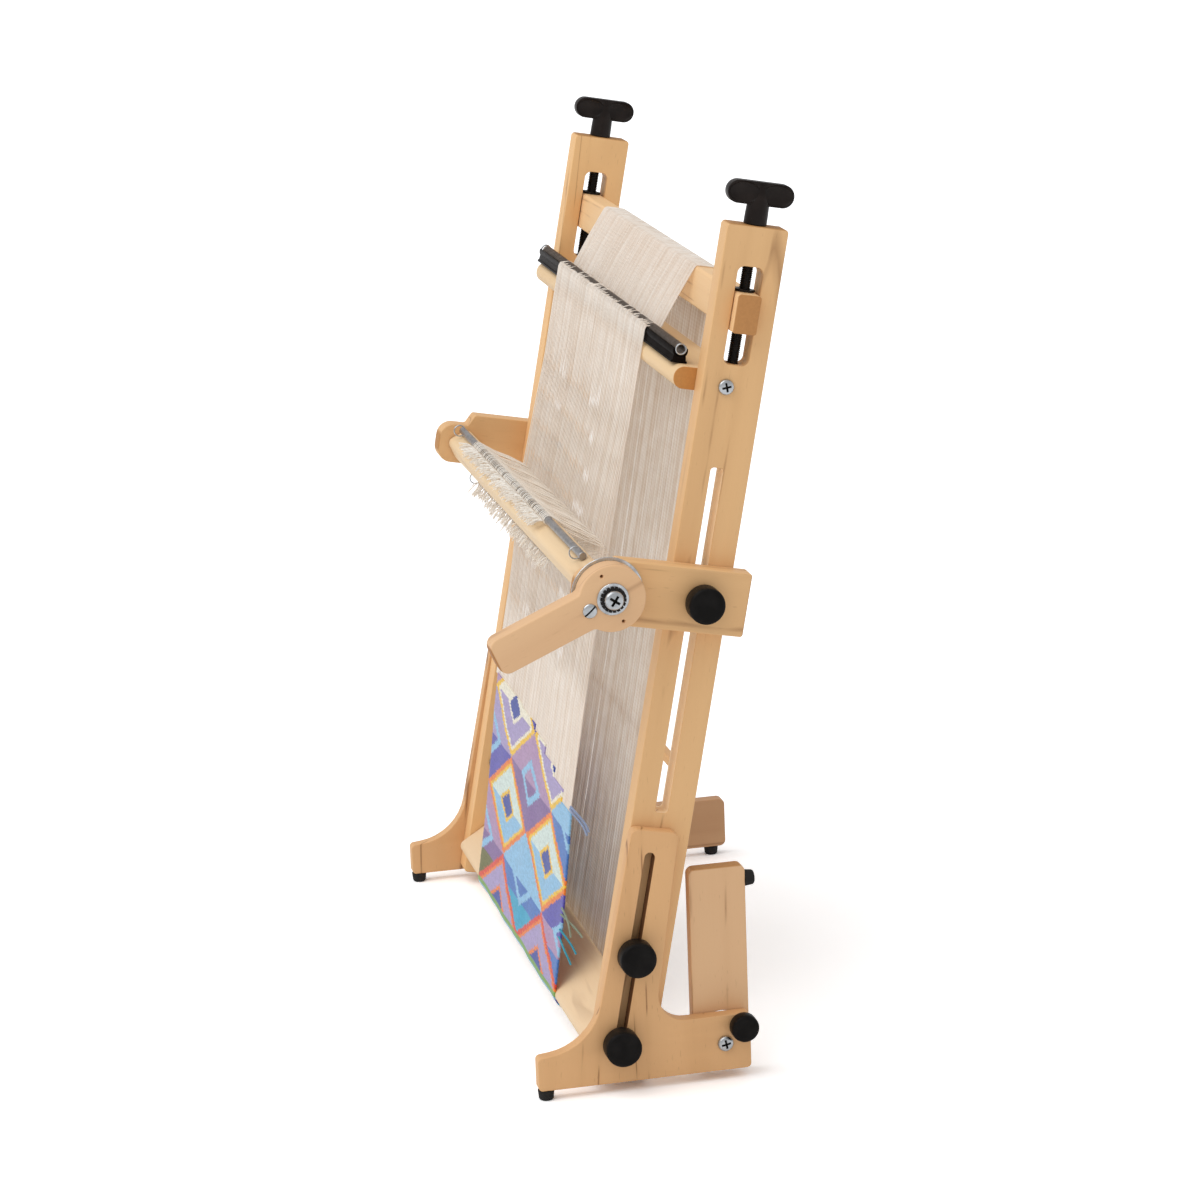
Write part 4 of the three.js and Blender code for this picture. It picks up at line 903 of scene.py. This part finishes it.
# Warp
# One unbroken cotton warp, wound round the loom: up the front through the spring, over the top beam,
# down the back and under the bottom beam. The front ends are woven in below; each end lies loose or tight.
def spun_yarn(name, colours, pitch=0.0032, bump=0.00012):
    """Plied yarn: twisted relief with painted shade in the twist's grooves, and its own shade per strand."""
    material, tree, bsdf = shader(name, Sheen_Weight=0.25, Sheen_Roughness=0.5, Specular_IOR_Level=0.25,
                                  Roughness=0.85)
    along_strand = tree.nodes.new("ShaderNodeUVMap")
    along_strand.uv_map = "along"
    uv = tree.nodes.new("ShaderNodeSeparateXYZ")
    tree.links.new(along_strand.outputs[0], uv.inputs[0])
    angle = step(tree, "ADD", step(tree, "DIVIDE", uv.outputs["X"], pitch),
                 step(tree, "MULTIPLY", uv.outputs["Y"], 3.0))
    ridge = step(tree, "ABSOLUTE", step(tree, "SINE", step(tree, "MULTIPLY", angle, math.pi)))
    groove = step(tree, "POWER", ridge, 0.6)
    per_strand = tree.nodes.new("ShaderNodeAttribute")
    per_strand.attribute_name = "shade"
    where = tree.nodes.new("ShaderNodeTexCoord").outputs["Object"]
    patchy = noise(tree, where, 55.0, 2.0, 0.6)
    pale, deep, groove_painted_shade = (tone(c) for c in colours)
    mixed = step(tree, "ADD", step(tree, "MULTIPLY", per_strand.outputs["Fac"], 0.7),
                 spread(tree, patchy, 0.35, 0.7, 0.0, 0.3))
    colour = blended(tree, mixed, deep, pale)
    # The grooves between the plies are painted toward the third colour as painted shade.
    tree.links.new(blended(tree, spread(tree, groove, 0.0, 0.7, 0.55, 0.0), colour, groove_painted_shade),
              bsdf.inputs["Base Color"])
    relief(tree, bsdf, groove, bump, 0.6)
    return material


def along_x(x, path):
    return [leaning @ (Vector((x, back, up)) * mm) for back, up in path]


warp_random = random.Random(11)
warp_places = [warp_left + end_spacing * i for i in range(warp_count)]
yarn_half = 0.58
front_over_beam = [(18.75 + 4.0 * math.cos(t), 702 + 4.0 * math.sin(t))
                   for t in [math.pi * v for v in (0.5, 0.58, 0.66, 0.74, 0.828)]]
back_over_beam = [(33.25 + 4.0 * math.cos(t), 702 + 4.0 * math.sin(t))
                  for t in [math.pi * v for v in (0.0, 0.1, 0.2, 0.3, 0.4, 0.5)]]


def board_point(along, away):
    """Leaning (back, up) of a point on the bottom beam's section."""
    y = 77.7 + along * math.cos(beam_tilt) - away * math.sin(beam_tilt) - 50.6
    z = 49.25 + along * math.sin(beam_tilt) + away * math.cos(beam_tilt)
    return (y * math.cos(lean) - z * math.sin(lean), y * math.sin(lean) + z * math.cos(lean))


def fell_at(x):
    """Height of the cloth's upper edge: woven higher on the left, lower in steps to the right."""
    for edge, height in ((-60, 249.5), (0, 246.5), (48, 240.5), (92, 231.5), (132, 222), (400, 211)):
        if x < edge:
            return height


front_paths, front_shades = [], []
for i, x in enumerate(warp_places):
    lift = 0.45 if i % 2 else -0.1
    stray = warp_random.uniform(-0.25, 0.25)
    fell = fell_at(x) - 4
    woven_back = -20.3 + (250 - fell) * 0.045
    # Down from the beam to the spring, between two of its coils, and over the channel's front lip.
    rides_over = warp_random.random() < 0.05 + 0.2 * i / warp_count
    riding = 650.4 + 1.1 * warp_random.random() if rides_over else 646.4 + 3.8 * warp_random.random() ** 1.6
    path = [(26.2, 706.0)] + front_over_beam + [
        (4.0, 676.5), (-5.9, 648.9), (-9.2, (riding + 649.0) / 2), (-12.5, riding), (-15.8, (riding + 649.0) / 2),
        (-19.0, 648.4), (-20.1, 645.5), (-20.2, 634.0), (-20.3, 625.0), (-20.4, 616.0), (-20.5 - lift, 560),
        (-21.0 - lift - 4.5 * (i % 2), 452), (-20.9 - lift - 0.8 * (i % 2), 360), (-20.7, 300), (woven_back, fell),
    ]
    line = along_x(x, path)
    for n in range(14, len(line) - 1):
        line[n] += Vector(((stray + warp_random.uniform(-0.25, 0.25)) * mm, 0, 0))
    front_paths.append(line)
    front_shades.append(warp_random.random())
front_warp = strands("front_warp_ends", front_paths, yarn_half * mm, 6, front_shades)
cotton = spun_yarn("warp_cotton", ("FBF3EA", "EADBCB", "C8B3A0"))
front_warp.data.materials.append(cotton)
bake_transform(front_warp)
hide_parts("front_warp")

under_front = [board_point(-24 + 5.1 * math.cos(t), -6.5 + 5.1 * math.sin(t))
               for t in [math.pi * v for v in (1.0, 1.12, 1.25, 1.38, 1.5)]]
rear_turn = 1.5 * math.pi
under_rear = [board_point(25 + 4.1 * math.cos(t), -7.5 + 4.1 * math.sin(t))
              for t in [rear_turn + (0.5 * math.pi - beam_tilt - lean) * v for v in (0, 0.25, 0.5, 0.75, 1.0)]]
back_paths, back_shades = [], []
for i, x in enumerate(warp_places):
    stray = warp_random.uniform(-0.5, 0.5)
    slack = warp_random.choice((0.0, 0.0, 0.15, 0.35))
    path = [board_point(-29.1, -4.0)] + under_front + under_rear + [
        (43.4 + slack, 150), (42.1 + slack, 281), (40.0 + slack, 460), (38.0 + slack * 0.5, 600), (37.0, 678),
    ] + back_over_beam + [(25.8, 706.0)]
    line = along_x(x, path)
    for n in (11, 12, 13, 14):
        line[n] += Vector(((stray + warp_random.uniform(-0.25, 0.25)) * mm, 0, 0))
    back_paths.append(line)
    back_shades.append(warp_random.random() ** 1.5)
back_warp = strands("back_warp_ends", back_paths, yarn_half * mm, 6, back_shades)
back_warp.data.materials.append(spun_yarn("shaded_warp_cotton", ("FFFAF3", "E0CFBD", "BDA793")))
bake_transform(back_warp)
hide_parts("back_warp")

# Tapestry
# Weft-faced wool cloth woven on the front ends, drawn down round the nose of the bottom beam. Its
# picture is a plain arrangement of stepped and zigzag bands; its upper edge is still being woven.
cloth_left, cloth_right = -175.0, 170.0
cloth_path = [(-21.4, 249.5), (-19.8, 212), (-16.2, 170), (-11.9, 104)]
nose_back, nose_up = board_point(-28 + 6.5, 10.5 - 6.5)
cloth_path += [(nose_back + 8.1 * math.cos(t), nose_up + 8.1 * math.sin(t))
               for t in [math.pi * 0.96 + (beam_tilt + lean + math.pi * 0.06) * v / 6 for v in range(7)]]
cloth_path.append(board_point(-28 - 1.7, -3.5))


def walk(path, spacing):
    """Points at even spacing along a path, with the direction of travel."""
    points = [Vector(p) for p in path]
    gone, out, target = 0.0, [], 0.0
    for a, b in zip(points, points[1:]):
        span = (b - a).length
        while target <= gone + span:
            out.append((a.lerp(b, (target - gone) / span), (b - a) / span))
            target += spacing
        gone += span
    return out, gone


PALE_MINT, LILAC, VIOLET, PLUM = "D3E2DC", "A99BC6", "5D57AE", "84689C"
SKY, TURQUOISE, DEEP_BLUE, CREAM = "8FC0E2", "35A5C8", "3F4FA0", "EDE6D2"
RED, ORANGE, YELLOW, CORAL = "DD4B38", "EE8237", "F1C33B", "E8796B"
OLIVE, LEAF, MAUVE, BLUE = "6C6B3A", "7FA85C", "B08FB4", "4C78BE"
lozenge_fills = [(PALE_MINT, LILAC), (SKY, PALE_MINT), (LILAC, CREAM), (PALE_MINT, SKY)]
ground_fills = [(VIOLET, LILAC), (MAUVE, VIOLET), (BLUE, SKY), (PLUM, MAUVE)]
outlines = [(RED, ORANGE), (ORANGE, YELLOW), (YELLOW, CREAM), (CORAL, RED)]


def weft_colour(u, v):
    """Colour of the weft u mm from the left selvedge and v mm up from the start of the cloth."""
    if v < 16:
        return (TURQUOISE, DEEP_BLUE, SKY, LEAF)[int(v / 4)]
    # The cloth is divided into lozenges, stepped as weft turns make them; every other one is outlined.
    u, v = math.floor(u / 2.4) * 2.4, math.floor(v / 2.3) * 2.3 - 16
    rising, falling = u / 178 + v / 96, u / 178 - v / 96
    i, j = math.floor(rising), math.floor(falling)
    rising, falling = rising - i, falling - j
    inside = min(rising, 1 - rising, falling, 1 - falling) * 84
    upper = rising - falling > 0
    if (i + j) % 2 == 0:
        outer, inner = outlines[(i - j) // 2 % 4]
        if inside < 5:
            return outer
        if inside < 8.5:
            return inner
        field = lozenge_fills[(i - j) // 2 % 4][upper]
        return field if inside < 27 else (outlines[(i - j) // 2 % 4][1] if inside < 31 else DEEP_BLUE)
    field = ground_fills[(i * 2 + j) % 4][upper]
    if v < 30 and not upper:
        field = (OLIVE, TURQUOISE, BLUE)[i % 3]
    return field if inside < 22 or inside > 29 else SKY


row_pitch = 1.15
rows, cloth_length = walk(cloth_path, row_pitch)
per_end = 2
columns = warp_count * per_end
cloth_random = random.Random(5)
selvedge = [cloth_random.uniform(-0.7, 0.7) for _ in range(len(rows) + 8)]
mesh = bmesh.new()
weft_layer = mesh.loops.layers.float_color.new("weft")
grid = []
for r, (point, travel) in enumerate(rows):
    outward = Vector((travel.y, -travel.x))
    if outward.dot(Vector((-1, -0.3))) < 0:
        outward = -outward
    waist = (2.2 * math.sin(math.pi * min(1.0, r / len(rows))) + selvedge[r // 5] * 0.6
             + (0.45 if r % 4 < 2 else -0.35))
    line = []
    for c in range(columns + 1):
        u = c / columns
        x = cloth_left + waist + (cloth_right - cloth_left - 2 * waist) * u
        over_under = 0.17 if (c // per_end + r) % 2 else -0.17
        hill = 0.16 * math.cos(2 * math.pi * c / per_end)
        shift = (over_under * (0.5 + 0.5 * math.cos(2 * math.pi * (c / per_end - 0.5))) + hill)
        edge = min(c, columns - c)
        if edge < 2:
            shift -= 0.5 * (2 - edge) / 2
        wander = 0.35 * math.sin(x * 0.045 + r * 0.02) + 0.25 * math.sin(x * 0.11 + 1.3)
        place = point + outward * (shift + wander * min(1.0, r / 40))
        line.append(mesh.verts.new(leaning @ (Vector((x, place.x, place.y)) * mm)))
    grid.append(line)
for r in range(len(grid) - 1):
    up = cloth_length - r * row_pitch
    for c in range(columns):
        u = (c + 0.5) / columns * (cloth_right - cloth_left)
        x = cloth_left + u
        if rows[r][0].y > fell_at(x) - 1.2:
            continue
        face = mesh.faces.new((grid[r][c], grid[r + 1][c], grid[r + 1][c + 1], grid[r][c + 1]))
        beat = cloth_random.uniform(0.93, 1.05)
        colour = tone(weft_colour(u + 0.8 * math.sin(r * 1.7), up))
        for corner in face.loops:
            corner[weft_layer] = (colour[0] * beat, colour[1] * beat, colour[2] * beat, 1.0)
for vertex in [v for v in mesh.verts if not v.link_faces]:
    mesh.verts.remove(vertex)
woven = bpy.data.meshes.new("tapestry_cloth")
mesh.to_mesh(woven)
mesh.free()
tapestry = fresh("tapestry_cloth", woven)
bpy.ops.object.mode_set(mode="EDIT")
bpy.ops.mesh.select_all(action="SELECT")
bpy.ops.mesh.normals_make_consistent(inside=False)
bpy.ops.object.mode_set(mode="OBJECT")
if tapestry.data.polygons[0].normal.y > 0:
    tapestry.data.flip_normals()
body_of_cloth = tapestry.modifiers.new("body", "SOLIDIFY")
body_of_cloth.thickness = 1.7 * mm
body_of_cloth.offset = -1
bpy.ops.object.modifier_apply(modifier=body_of_cloth.name)
bpy.ops.object.shade_smooth()
wool, tree, bsdf = shader("weft_wool", Sheen_Weight=0.35, Sheen_Roughness=0.45, Specular_IOR_Level=0.2,
                                  Roughness=0.92)
weft = tree.nodes.new("ShaderNodeVertexColor")
weft.layer_name = "weft"
where = tree.nodes.new("ShaderNodeTexCoord").outputs["Object"]
hairs = noise(tree, where, 1400.0, 3.0, 0.65)
heather = noise(tree, stretched(tree, where, (0.35, 1.0, 1.0)), 420.0, 2.0, 0.6)
bright = spread(tree, heather, 0.3, 0.7, 0.86, 1.08)
shaded = tree.nodes.new("ShaderNodeVectorMath")
shaded.operation = "SCALE"
tree.links.new(weft.outputs["Color"], shaded.inputs[0])
tree.links.new(bright, shaded.inputs["Scale"])
tree.links.new(shaded.outputs[0], bsdf.inputs["Base Color"])
relief(tree, bsdf, step(tree, "ADD", hairs, step(tree, "MULTIPLY", heather, 0.5)), 0.00025, 0.5)
finished(tapestry, wool, "frame", "cloth", "tapestry")

# The weaver's yarn ends hang at the right selvedge, and a blue thread marks the back of the warp.
weft_ends = {
    "slate": (("A3B3D0", "8899BC", "5E6C8E"), 1.15, [
        [(170.5, -21.2, 217), (173.5, -19.0, 215), (177, -12, 209), (179, -6.5, 203.5), (181.5, -3.8, 198)],
        [(170.5, -21.4, 215), (173.2, -20.2, 212.5), (176, -13.5, 207), (178.5, -8, 201), (180, -4.6, 194.5)]]),
    "teal": (("4FB4C9", "2E8CA8", "1D5F78"), 0.95, [
        [(169.5, -13.2, 103), (173.5, -10.5, 100.5), (178, -6, 96), (181.5, -1.5, 90.5), (184, 1.5, 85.5)],
        [(169.5, -13.0, 96), (174, -11, 92.5), (178.5, -8, 86), (180.5, -4, 80), (181, -1, 74.5)]]),
    "sage": (("9BA896", "7C8A78", "56614F"), 0.95, [
        [(169.5, -14.2, 117), (174.5, -10.5, 114.5), (180, -4, 110), (184.5, 2.5, 104.5), (186, 4, 102)],
        [(169.5, -14.4, 123), (174, -12.6, 120), (178, -9.5, 114.5), (180.5, -7, 107), (181, -5, 100)]]),
    "navy": (("3A4A98", "2A3778", "1B2450"), 0.9, [
        [(-68, 35.0, 195), (-60, 34.6, 195.6), (-53, 34.9, 195.2), (-46, 34.5, 195.8), (-39, 34.8, 195.3)]]),
}
for yarn_name, (colours, half, ends) in weft_ends.items():
    paths = []
    for end in ends:
        line = [Vector(point) for point in end]
        # Smooth the hanging end, then put it in its place.
        for _ in range(2):
            cut = [q for p, r in zip(line, line[1:]) for q in (p.lerp(r, 0.25), p.lerp(r, 0.75))]
            line = [line[0], *cut, line[-1]]
        paths.append([leaning @ (point * mm) for point in line])
    yarn_end = strands(f"{yarn_name}_weft_ends", paths, half * mm, 8,
                       [0.3 + 0.4 * n for n in range(len(paths))])
    yarn_end.data.materials.append(spun_yarn(f"{yarn_name}_yarn", colours, pitch=0.004, bump=0.0002))
    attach(yarn_end, "frame")

# Shedding arms
# Two stepped boards clamped over the uprights' long slots by a knob on a nut that rides in the slot.
# Their rounded noses carry the axle screws of the heddle bar.
arm_outline = sawn_outline([
    (64.5, 418, 2.5), (64.5, 473, 2.5), (-52.5, 473, 3), (-58.5, 462, 3), (-85, 462, 14), (-85, 424, 14),
    (-58.5, 424, 3), (-52.5, 418, 3),
])
arm = sawn_board("right_arm_board", arm_outline,
                 [round_hole(-58, 444.5, 3.5), round_hole(24.5, 445.4, 4.4)], 19.5)
arm_grain = Matrix.Rotation(quarter, 4, "X")
both_sides(arm, leaning @ move(297.4, 0, 0), leaning @ move(-316.9, 0, 0), [
    waxed_wood(f"arm_wood_{side}", leaning @ move(x, -10.25, 445.5) @ arm_grain, 0.07475, seed=seed)
    for side, x, seed in (("right", 307, 11.0), ("left", -307, 12.0))
], "shed_arms", "wood", "right_arm")

# Heddle bar and shedding handle
# A pale bar turns between the arms with the handle on its right end. Two steel rods lie along it,
# each kept by a wire ring through a hole near both ends, and the string heddles hang on them.
axle_place = leaning @ move(0, -58, 444.5) @ about_x(34.5)
heddle_bar = rail("heddle_bar_rail", [(-15.5, -12, 6), (9.5, -12, 6), (9.5, 12, 6), (-15.5, 12, 6)], 592.8, 1.0,
                  axle_place)
finished(heddle_bar, waxed_wood("heddle_bar_wood", axle_place @ across, 0.2964, "F0D6AE", "E8C79C", "C58E52",
                                seed=13.0, figure=0.5), "heddle", "pale_wood", "heddle_bar")

disc_radius, lever_half, neck = 28.5, 16, 6
neck_up = lever_half + neck
neck_back = -math.sqrt((disc_radius + neck) ** 2 - neck_up ** 2)
neck_angle = math.atan2(neck_up, neck_back)
handle_outline = (
    arc(0, 0, disc_radius, -neck_angle, neck_angle, 60)
    + arc(neck_back, neck_up, neck, neck_angle - math.pi, -quarter, 8)[1:]
    + sawn_outline([(neck_back, -lever_half, 0), (neck_back, lever_half, 0), (-110, lever_half, 9),
                    (-110, -lever_half, 9)])[2:]
    + arc(neck_back, -neck_up, neck, quarter, math.pi - neck_angle, 8)[:-1]
)
handle = sawn_board("shedding_handle_board", handle_outline, [
    round_hole(0, 0, 3.5), round_hole(0, 21.7, 1.3, 20), round_hole(0, -21.7, 1.3, 20),
    round_hole(-21.4, 0, 2.4, 20),
], 19, 1.3, 4)
set_down(handle, axle_place @ move(318.7, 0, 0))
carve(handle, peg(7.1, 336.4, 339, "x", (0, -21.4, 0), 48))
finished(handle, waxed_wood("handle_wood", axle_place @ move(328, -40, 0) @ arm_grain, 0.0695,
                            "E7BD90", "DCB085", "B07A48", seed=14.0, figure=0.7), "heddle", "wood", "shed_handle")

friction_disc = turned("friction_disc_plate", [(3.5, 0), (30.7, 0), (31, 0.3), (31, 0.9), (30.7, 1.2), (3.5, 1.2),
                                               (3.5, 0)], 96)
set_down(friction_disc, axle_place @ move(317.2, 0, 0))
finished(friction_disc, zinc, "heddle", "zinc", "friction_disc")
washer = turned("axle_washer_plate", [(3.5, 0), (13.2, 0), (13.6, 0.4), (13.6, 1.0), (13.2, 1.4), (3.5, 1.4),
                                      (3.5, 0)], 64)
set_down(washer, axle_place @ move(338, 0, 0))
finished(washer, zinc, "heddle", "zinc", "axle_washer")
lock_washer = turned("toothed_washer", [(3.5, 0), (10.8, 0), (11.1, 0.3), (11.1, 1.0), (10.8, 1.3), (3.5, 1.7),
                                        (3.5, 0)], 72)
teeth = [block((4, 1.0, 2.6), (0.7, 10.9 * math.cos(a), 10.9 * math.sin(a)), (a + quarter, 0, 0))
         for a in [math.radians(20 * i) for i in range(18)]]
carve(lock_washer, *teeth)
set_down(lock_washer, axle_place @ move(339.7, 0, 0))
finished(lock_washer, blackened, "heddle", "black_steel", "lock_washer")
axle_screw = pan_screw("right_axle_screw", 8.3, 5.2, 3, 82, "cross")
left_axle_screw = pan_screw("left_axle_screw", 7.5, 4.5, 3, 57, "cross")
set_down(axle_screw, axle_place @ move(341.4, 0, 0) @ about_x(32))
set_down(left_axle_screw, axle_place @ move(-317.2, 0, 0) @ turned_round)
finished(axle_screw, zinc, "heddle", "zinc", "axle_screw_right", inner=recess_painted_shade)
finished(left_axle_screw, zinc, "heddle", "zinc", "axle_screw_left", inner=recess_painted_shade)
slotted_screw = pan_screw("slotted_handle_screw", 6.4, 3.2, 2, 13.5, "slot")
set_down(slotted_screw, axle_place @ move(336.5, -21.4, 0)
         @ about_x(18))
finished(slotted_screw, zinc, "heddle", "zinc", "handle_screw", inner=recess_painted_shade)

rod_steel = plated_steel("rod_steel", "A9A6A6", 0.34, 0.1)
ring_radius, ring_wire = 5.4, 0.6
ring_reach = ring_radius * math.sqrt(0.5) - 0.4
for row, sign, back, first, last in (("upper", 1, 2, -287, 247), ("lower", -1, -8, -247, 287)):
    heddle_rod = turned(f"{row}_heddle_rod_steel", [(0, first), (3.0, first), (3.5, first + 0.5), (3.5, last - 0.5),
                                                    (3.0, last), (0, last)], 32)
    for end in (first + 8, last - 8):
        hole = peg(1.2, -6, 6, "y", sides=16)
        set_down(hole, move(end, 0, 0) @ Matrix.Rotation(sign * quarter / 2, 4, "X"))
        carve(heddle_rod, hole)
    set_down(heddle_rod, axle_place @ move(0, back, sign * 15.8))
    finished(heddle_rod, rod_steel, "heddle", "zinc", f"{row}_heddle_rod")
    for side, end in (("left", first + 8), ("right", last - 8)):
        # A sprung wire ring that is pushed through the rod; its ends overlap by a little.
        ring = [axle_place @ (Vector((end + 0.9 * (t - 0.5), back - ring_reach + ring_radius * math.cos(a),
                                      sign * (15.8 + ring_reach) + ring_radius * math.sin(a))) * mm)
                for t, a in [(i / 44, math.radians(100 + 378 * i / 44)) for i in range(45)]]
        clip = strands(f"{side}_{row}_wire_ring", [ring], ring_wire * mm, 10)
        finished(clip, zinc, "heddle", "zinc", f"{side}_{row}_clip")

# String heddles
# Loops of white cotton cord, one round every front warp end, knotted on the two rods by turns. The
# knots' cut and fraying tails stand out in front of the upper rod and hang below the lower one.
heddle_random = random.Random(23)
heddle_paths, heddle_shades, fray_paths, wrap_paths = [], [], [], []
for i, x in enumerate(warp_places):
    upper_row = i % 2
    rod_at = leaning.inverted() @ axle_place @ (Vector((0, 2, 15.8) if upper_row else (0, -8, -15.8)) * mm)
    rb, ru = rod_at.y / mm, rod_at.z / mm
    held_at = (-25.5 if upper_row else -21.2,
               452.0 + heddle_random.uniform(-1.5, 1.5) - (0 if upper_row else 6))
    rod_x = x * 0.936 - 43.6 + heddle_random.uniform(-0.6, 0.6)
    to_warp = math.atan2(held_at[1] - ru, held_at[0] - rb)
    away = to_warp + math.pi * 1.12
    r = 4.1
    knot = (rb + 4.9 * math.cos(away), ru + 4.9 * math.sin(away))
    tail = heddle_random.uniform(8, 15) if upper_row else heddle_random.uniform(6, 12)
    fall = away + heddle_random.uniform(-0.25, 0.35) + (0.0 if upper_row else 0.12)
    tail_end = (knot[0] + tail * math.cos(fall), knot[1] + tail * math.sin(fall) - 1.5)
    sag = 0 if upper_row else -3.0 + heddle_random.uniform(-1.2, 1.2)

    def at(dx, back, up):
        return leaning @ (Vector((rod_x + dx, back, up)) * mm)

    def between(t, dx, rise):
        """A point of the loop on its way from the rod to its warp end."""
        return leaning @ (Vector((rod_x + (x - rod_x) * t + dx, rb + (held_at[0] - rb) * t,
                                  ru + (held_at[1] - ru) * t + sag * math.sin(math.pi * t) + rise)) * mm)

    drift = heddle_random.uniform(-5, 1.5)
    path = [at(drift, *tail_end),
            at(drift * 0.4, (knot[0] + tail_end[0]) / 2, (knot[1] + tail_end[1]) / 2 + 1.2)]
    path += [at(0.2, knot[0] + 0.8, knot[1] + 0.5), at(0.5, knot[0] - 0.6, knot[1] - 0.7), at(-0.3, *knot)]
    path += [at(-0.9 + 0.1 * k, rb + r * math.cos(a), ru + r * math.sin(a))
             for k, a in enumerate([away - math.radians(40 * n) for n in range(1, 4)])]
    path += [between(0.35, -0.5, 2.0), between(0.68, -0.5, 2.0)]
    path += [leaning @ (Vector((x + dx, held_at[0] + db, held_at[1] + du)) * mm)
             for dx, db, du in ((-0.9, -0.4, 0.4), (-0.5, 0.9, 0.2), (0.5, 0.9, -0.2), (0.9, -0.4, -0.4))]
    path += [between(0.68, 0.5, -2.0), between(0.35, 0.5, -2.0)]
    path += [at(0.9 - 0.1 * k, rb + r * math.cos(a), ru + r * math.sin(a))
             for k, a in enumerate([to_warp - math.radians(40 + 40 * n) for n in range(1, 4)])]
    path += [at(0.3, knot[0] + 0.3, knot[1] + 0.9), at(0.9, knot[0] - 0.9, knot[1] - 0.2)]
    second = heddle_random.uniform(-4, 4)
    tail_two = (tail_end[0] + heddle_random.uniform(-2.5, 2.5), tail_end[1] + heddle_random.uniform(-2.5, 2.5))
    path += [at(second * 0.5 + 0.6, (knot[0] + tail_two[0]) / 2, (knot[1] + tail_two[1]) / 2 + 1.6),
             at(second, *tail_two)]
    heddle_paths.append(path)
    heddle_shades.append(heddle_random.uniform(0.4, 1.0))
    # The knot takes a turn round the rod, and a spare end or two stands out of it.
    if heddle_random.random() >= 0.3:
        wrap_paths.append([at(0.05 * k - 0.3, rb + 4.05 * math.cos(k * math.pi / 5),
                              ru + 4.05 * math.sin(k * math.pi / 5)) for k in range(11)])
    for _ in range(3 if upper_row else 1):
        spare = fall + heddle_random.uniform(-0.5, 0.45)
        long, lean_over = tail * heddle_random.uniform(0.55, 1.05), heddle_random.uniform(-6, 2)
        wrap_paths.append([at(0, *knot), at(lean_over * 0.4, knot[0] + long * 0.5 * math.cos(spare),
                                            knot[1] + long * 0.5 * math.sin(spare) + 1.5),
                           at(lean_over, knot[0] + long * math.cos(spare), knot[1] + long * math.sin(spare) - 0.5)])
    # The cotton untwists at the cut ends.
    for dx, (back, up) in ((drift, tail_end), (second, tail_two)):
        for _ in range(4):
            start = 0.35 + 0.4 * heddle_random.random()
            a = fall + heddle_random.uniform(-0.7, 0.7)
            long = heddle_random.uniform(2.5, 6.0)
            root = (knot[0] + (back - knot[0]) * start, knot[1] + (up - knot[1]) * start + 0.8)
            fray_paths.append([at(dx * start, *root),
                               at(dx * start + heddle_random.uniform(-2, 2), root[0] + long * math.cos(a),
                                  root[1] + long * math.sin(a))])
heddles = strands("string_heddles", heddle_paths, 0.42 * mm, 6, heddle_shades)
cord_white = spun_yarn("heddle_cord", ("FFFCF6", "F3ECE1", "D8CEC1"), pitch=0.002)
heddles.data.materials.append(spun_yarn("heddle_loops", ("F8EFE3", "E6D8C7", "CDBDAA"), pitch=0.002))
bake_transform(heddles)
for piece in (strands("heddle_tail_fray", fray_paths, 0.18 * mm, 3),
              strands("heddle_knots", wrap_paths, 0.5 * mm, 5, [0.9] * len(wrap_paths))):
    piece.data.materials.append(cord_white)
    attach(piece, "heddle")

# Rubber feet
# Moulded rubber buttons under the toes and on the underside of the foot extensions.
rubber_black = moulded("black_rubber", "171514", 0.72, 1500.0, 0.3)


def button(name, height):
    return turned(name, [(0, 0), (5.0, 0), (5.7, 0.35), (6.5, 1.5), (7.2, height - 0.5), (7.2, height - 0.1),
                         (6.9, height), (0, height)], 40)


stand_up = Matrix.Rotation(-quarter, 4, "Y")
for side_name, side in (("right", 1), ("left", -1)):
    toe = button(f"{side_name}_toe_button", 8.7)
    set_down(toe, level @ move(side * 303.65, 12.4, 0) @ stand_up)
    finished(toe, rubber_black, f"{side_name}_foot", "rubber", f"{side_name}_front_foot")
    pad = button(f"{side_name}_extension_button", 8.7)
    hinge_place = folded if side > 0 else at_pivot
    set_down(pad, hinge_place @ move(side * 290.5, 142, -25 - 0.3 - 8.7) @ stand_up)
    finished(pad, rubber_black, f"{side_name}_extension", "rubber", f"{side_name}_extension_pad")

# Nuts in the wood
# The threaded inserts and slot nuts that the knobs' studs screw into stay as solids with a zinc finish.
for name in ("right_upper_foot_nut", "right_lower_foot_nut", "left_upper_foot_nut", "left_lower_foot_nut",
             "right_arm_slot_nut", "left_arm_slot_nut"):
    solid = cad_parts[name]
    solid.data.materials.clear()
    solid.data.materials.append(zinc)
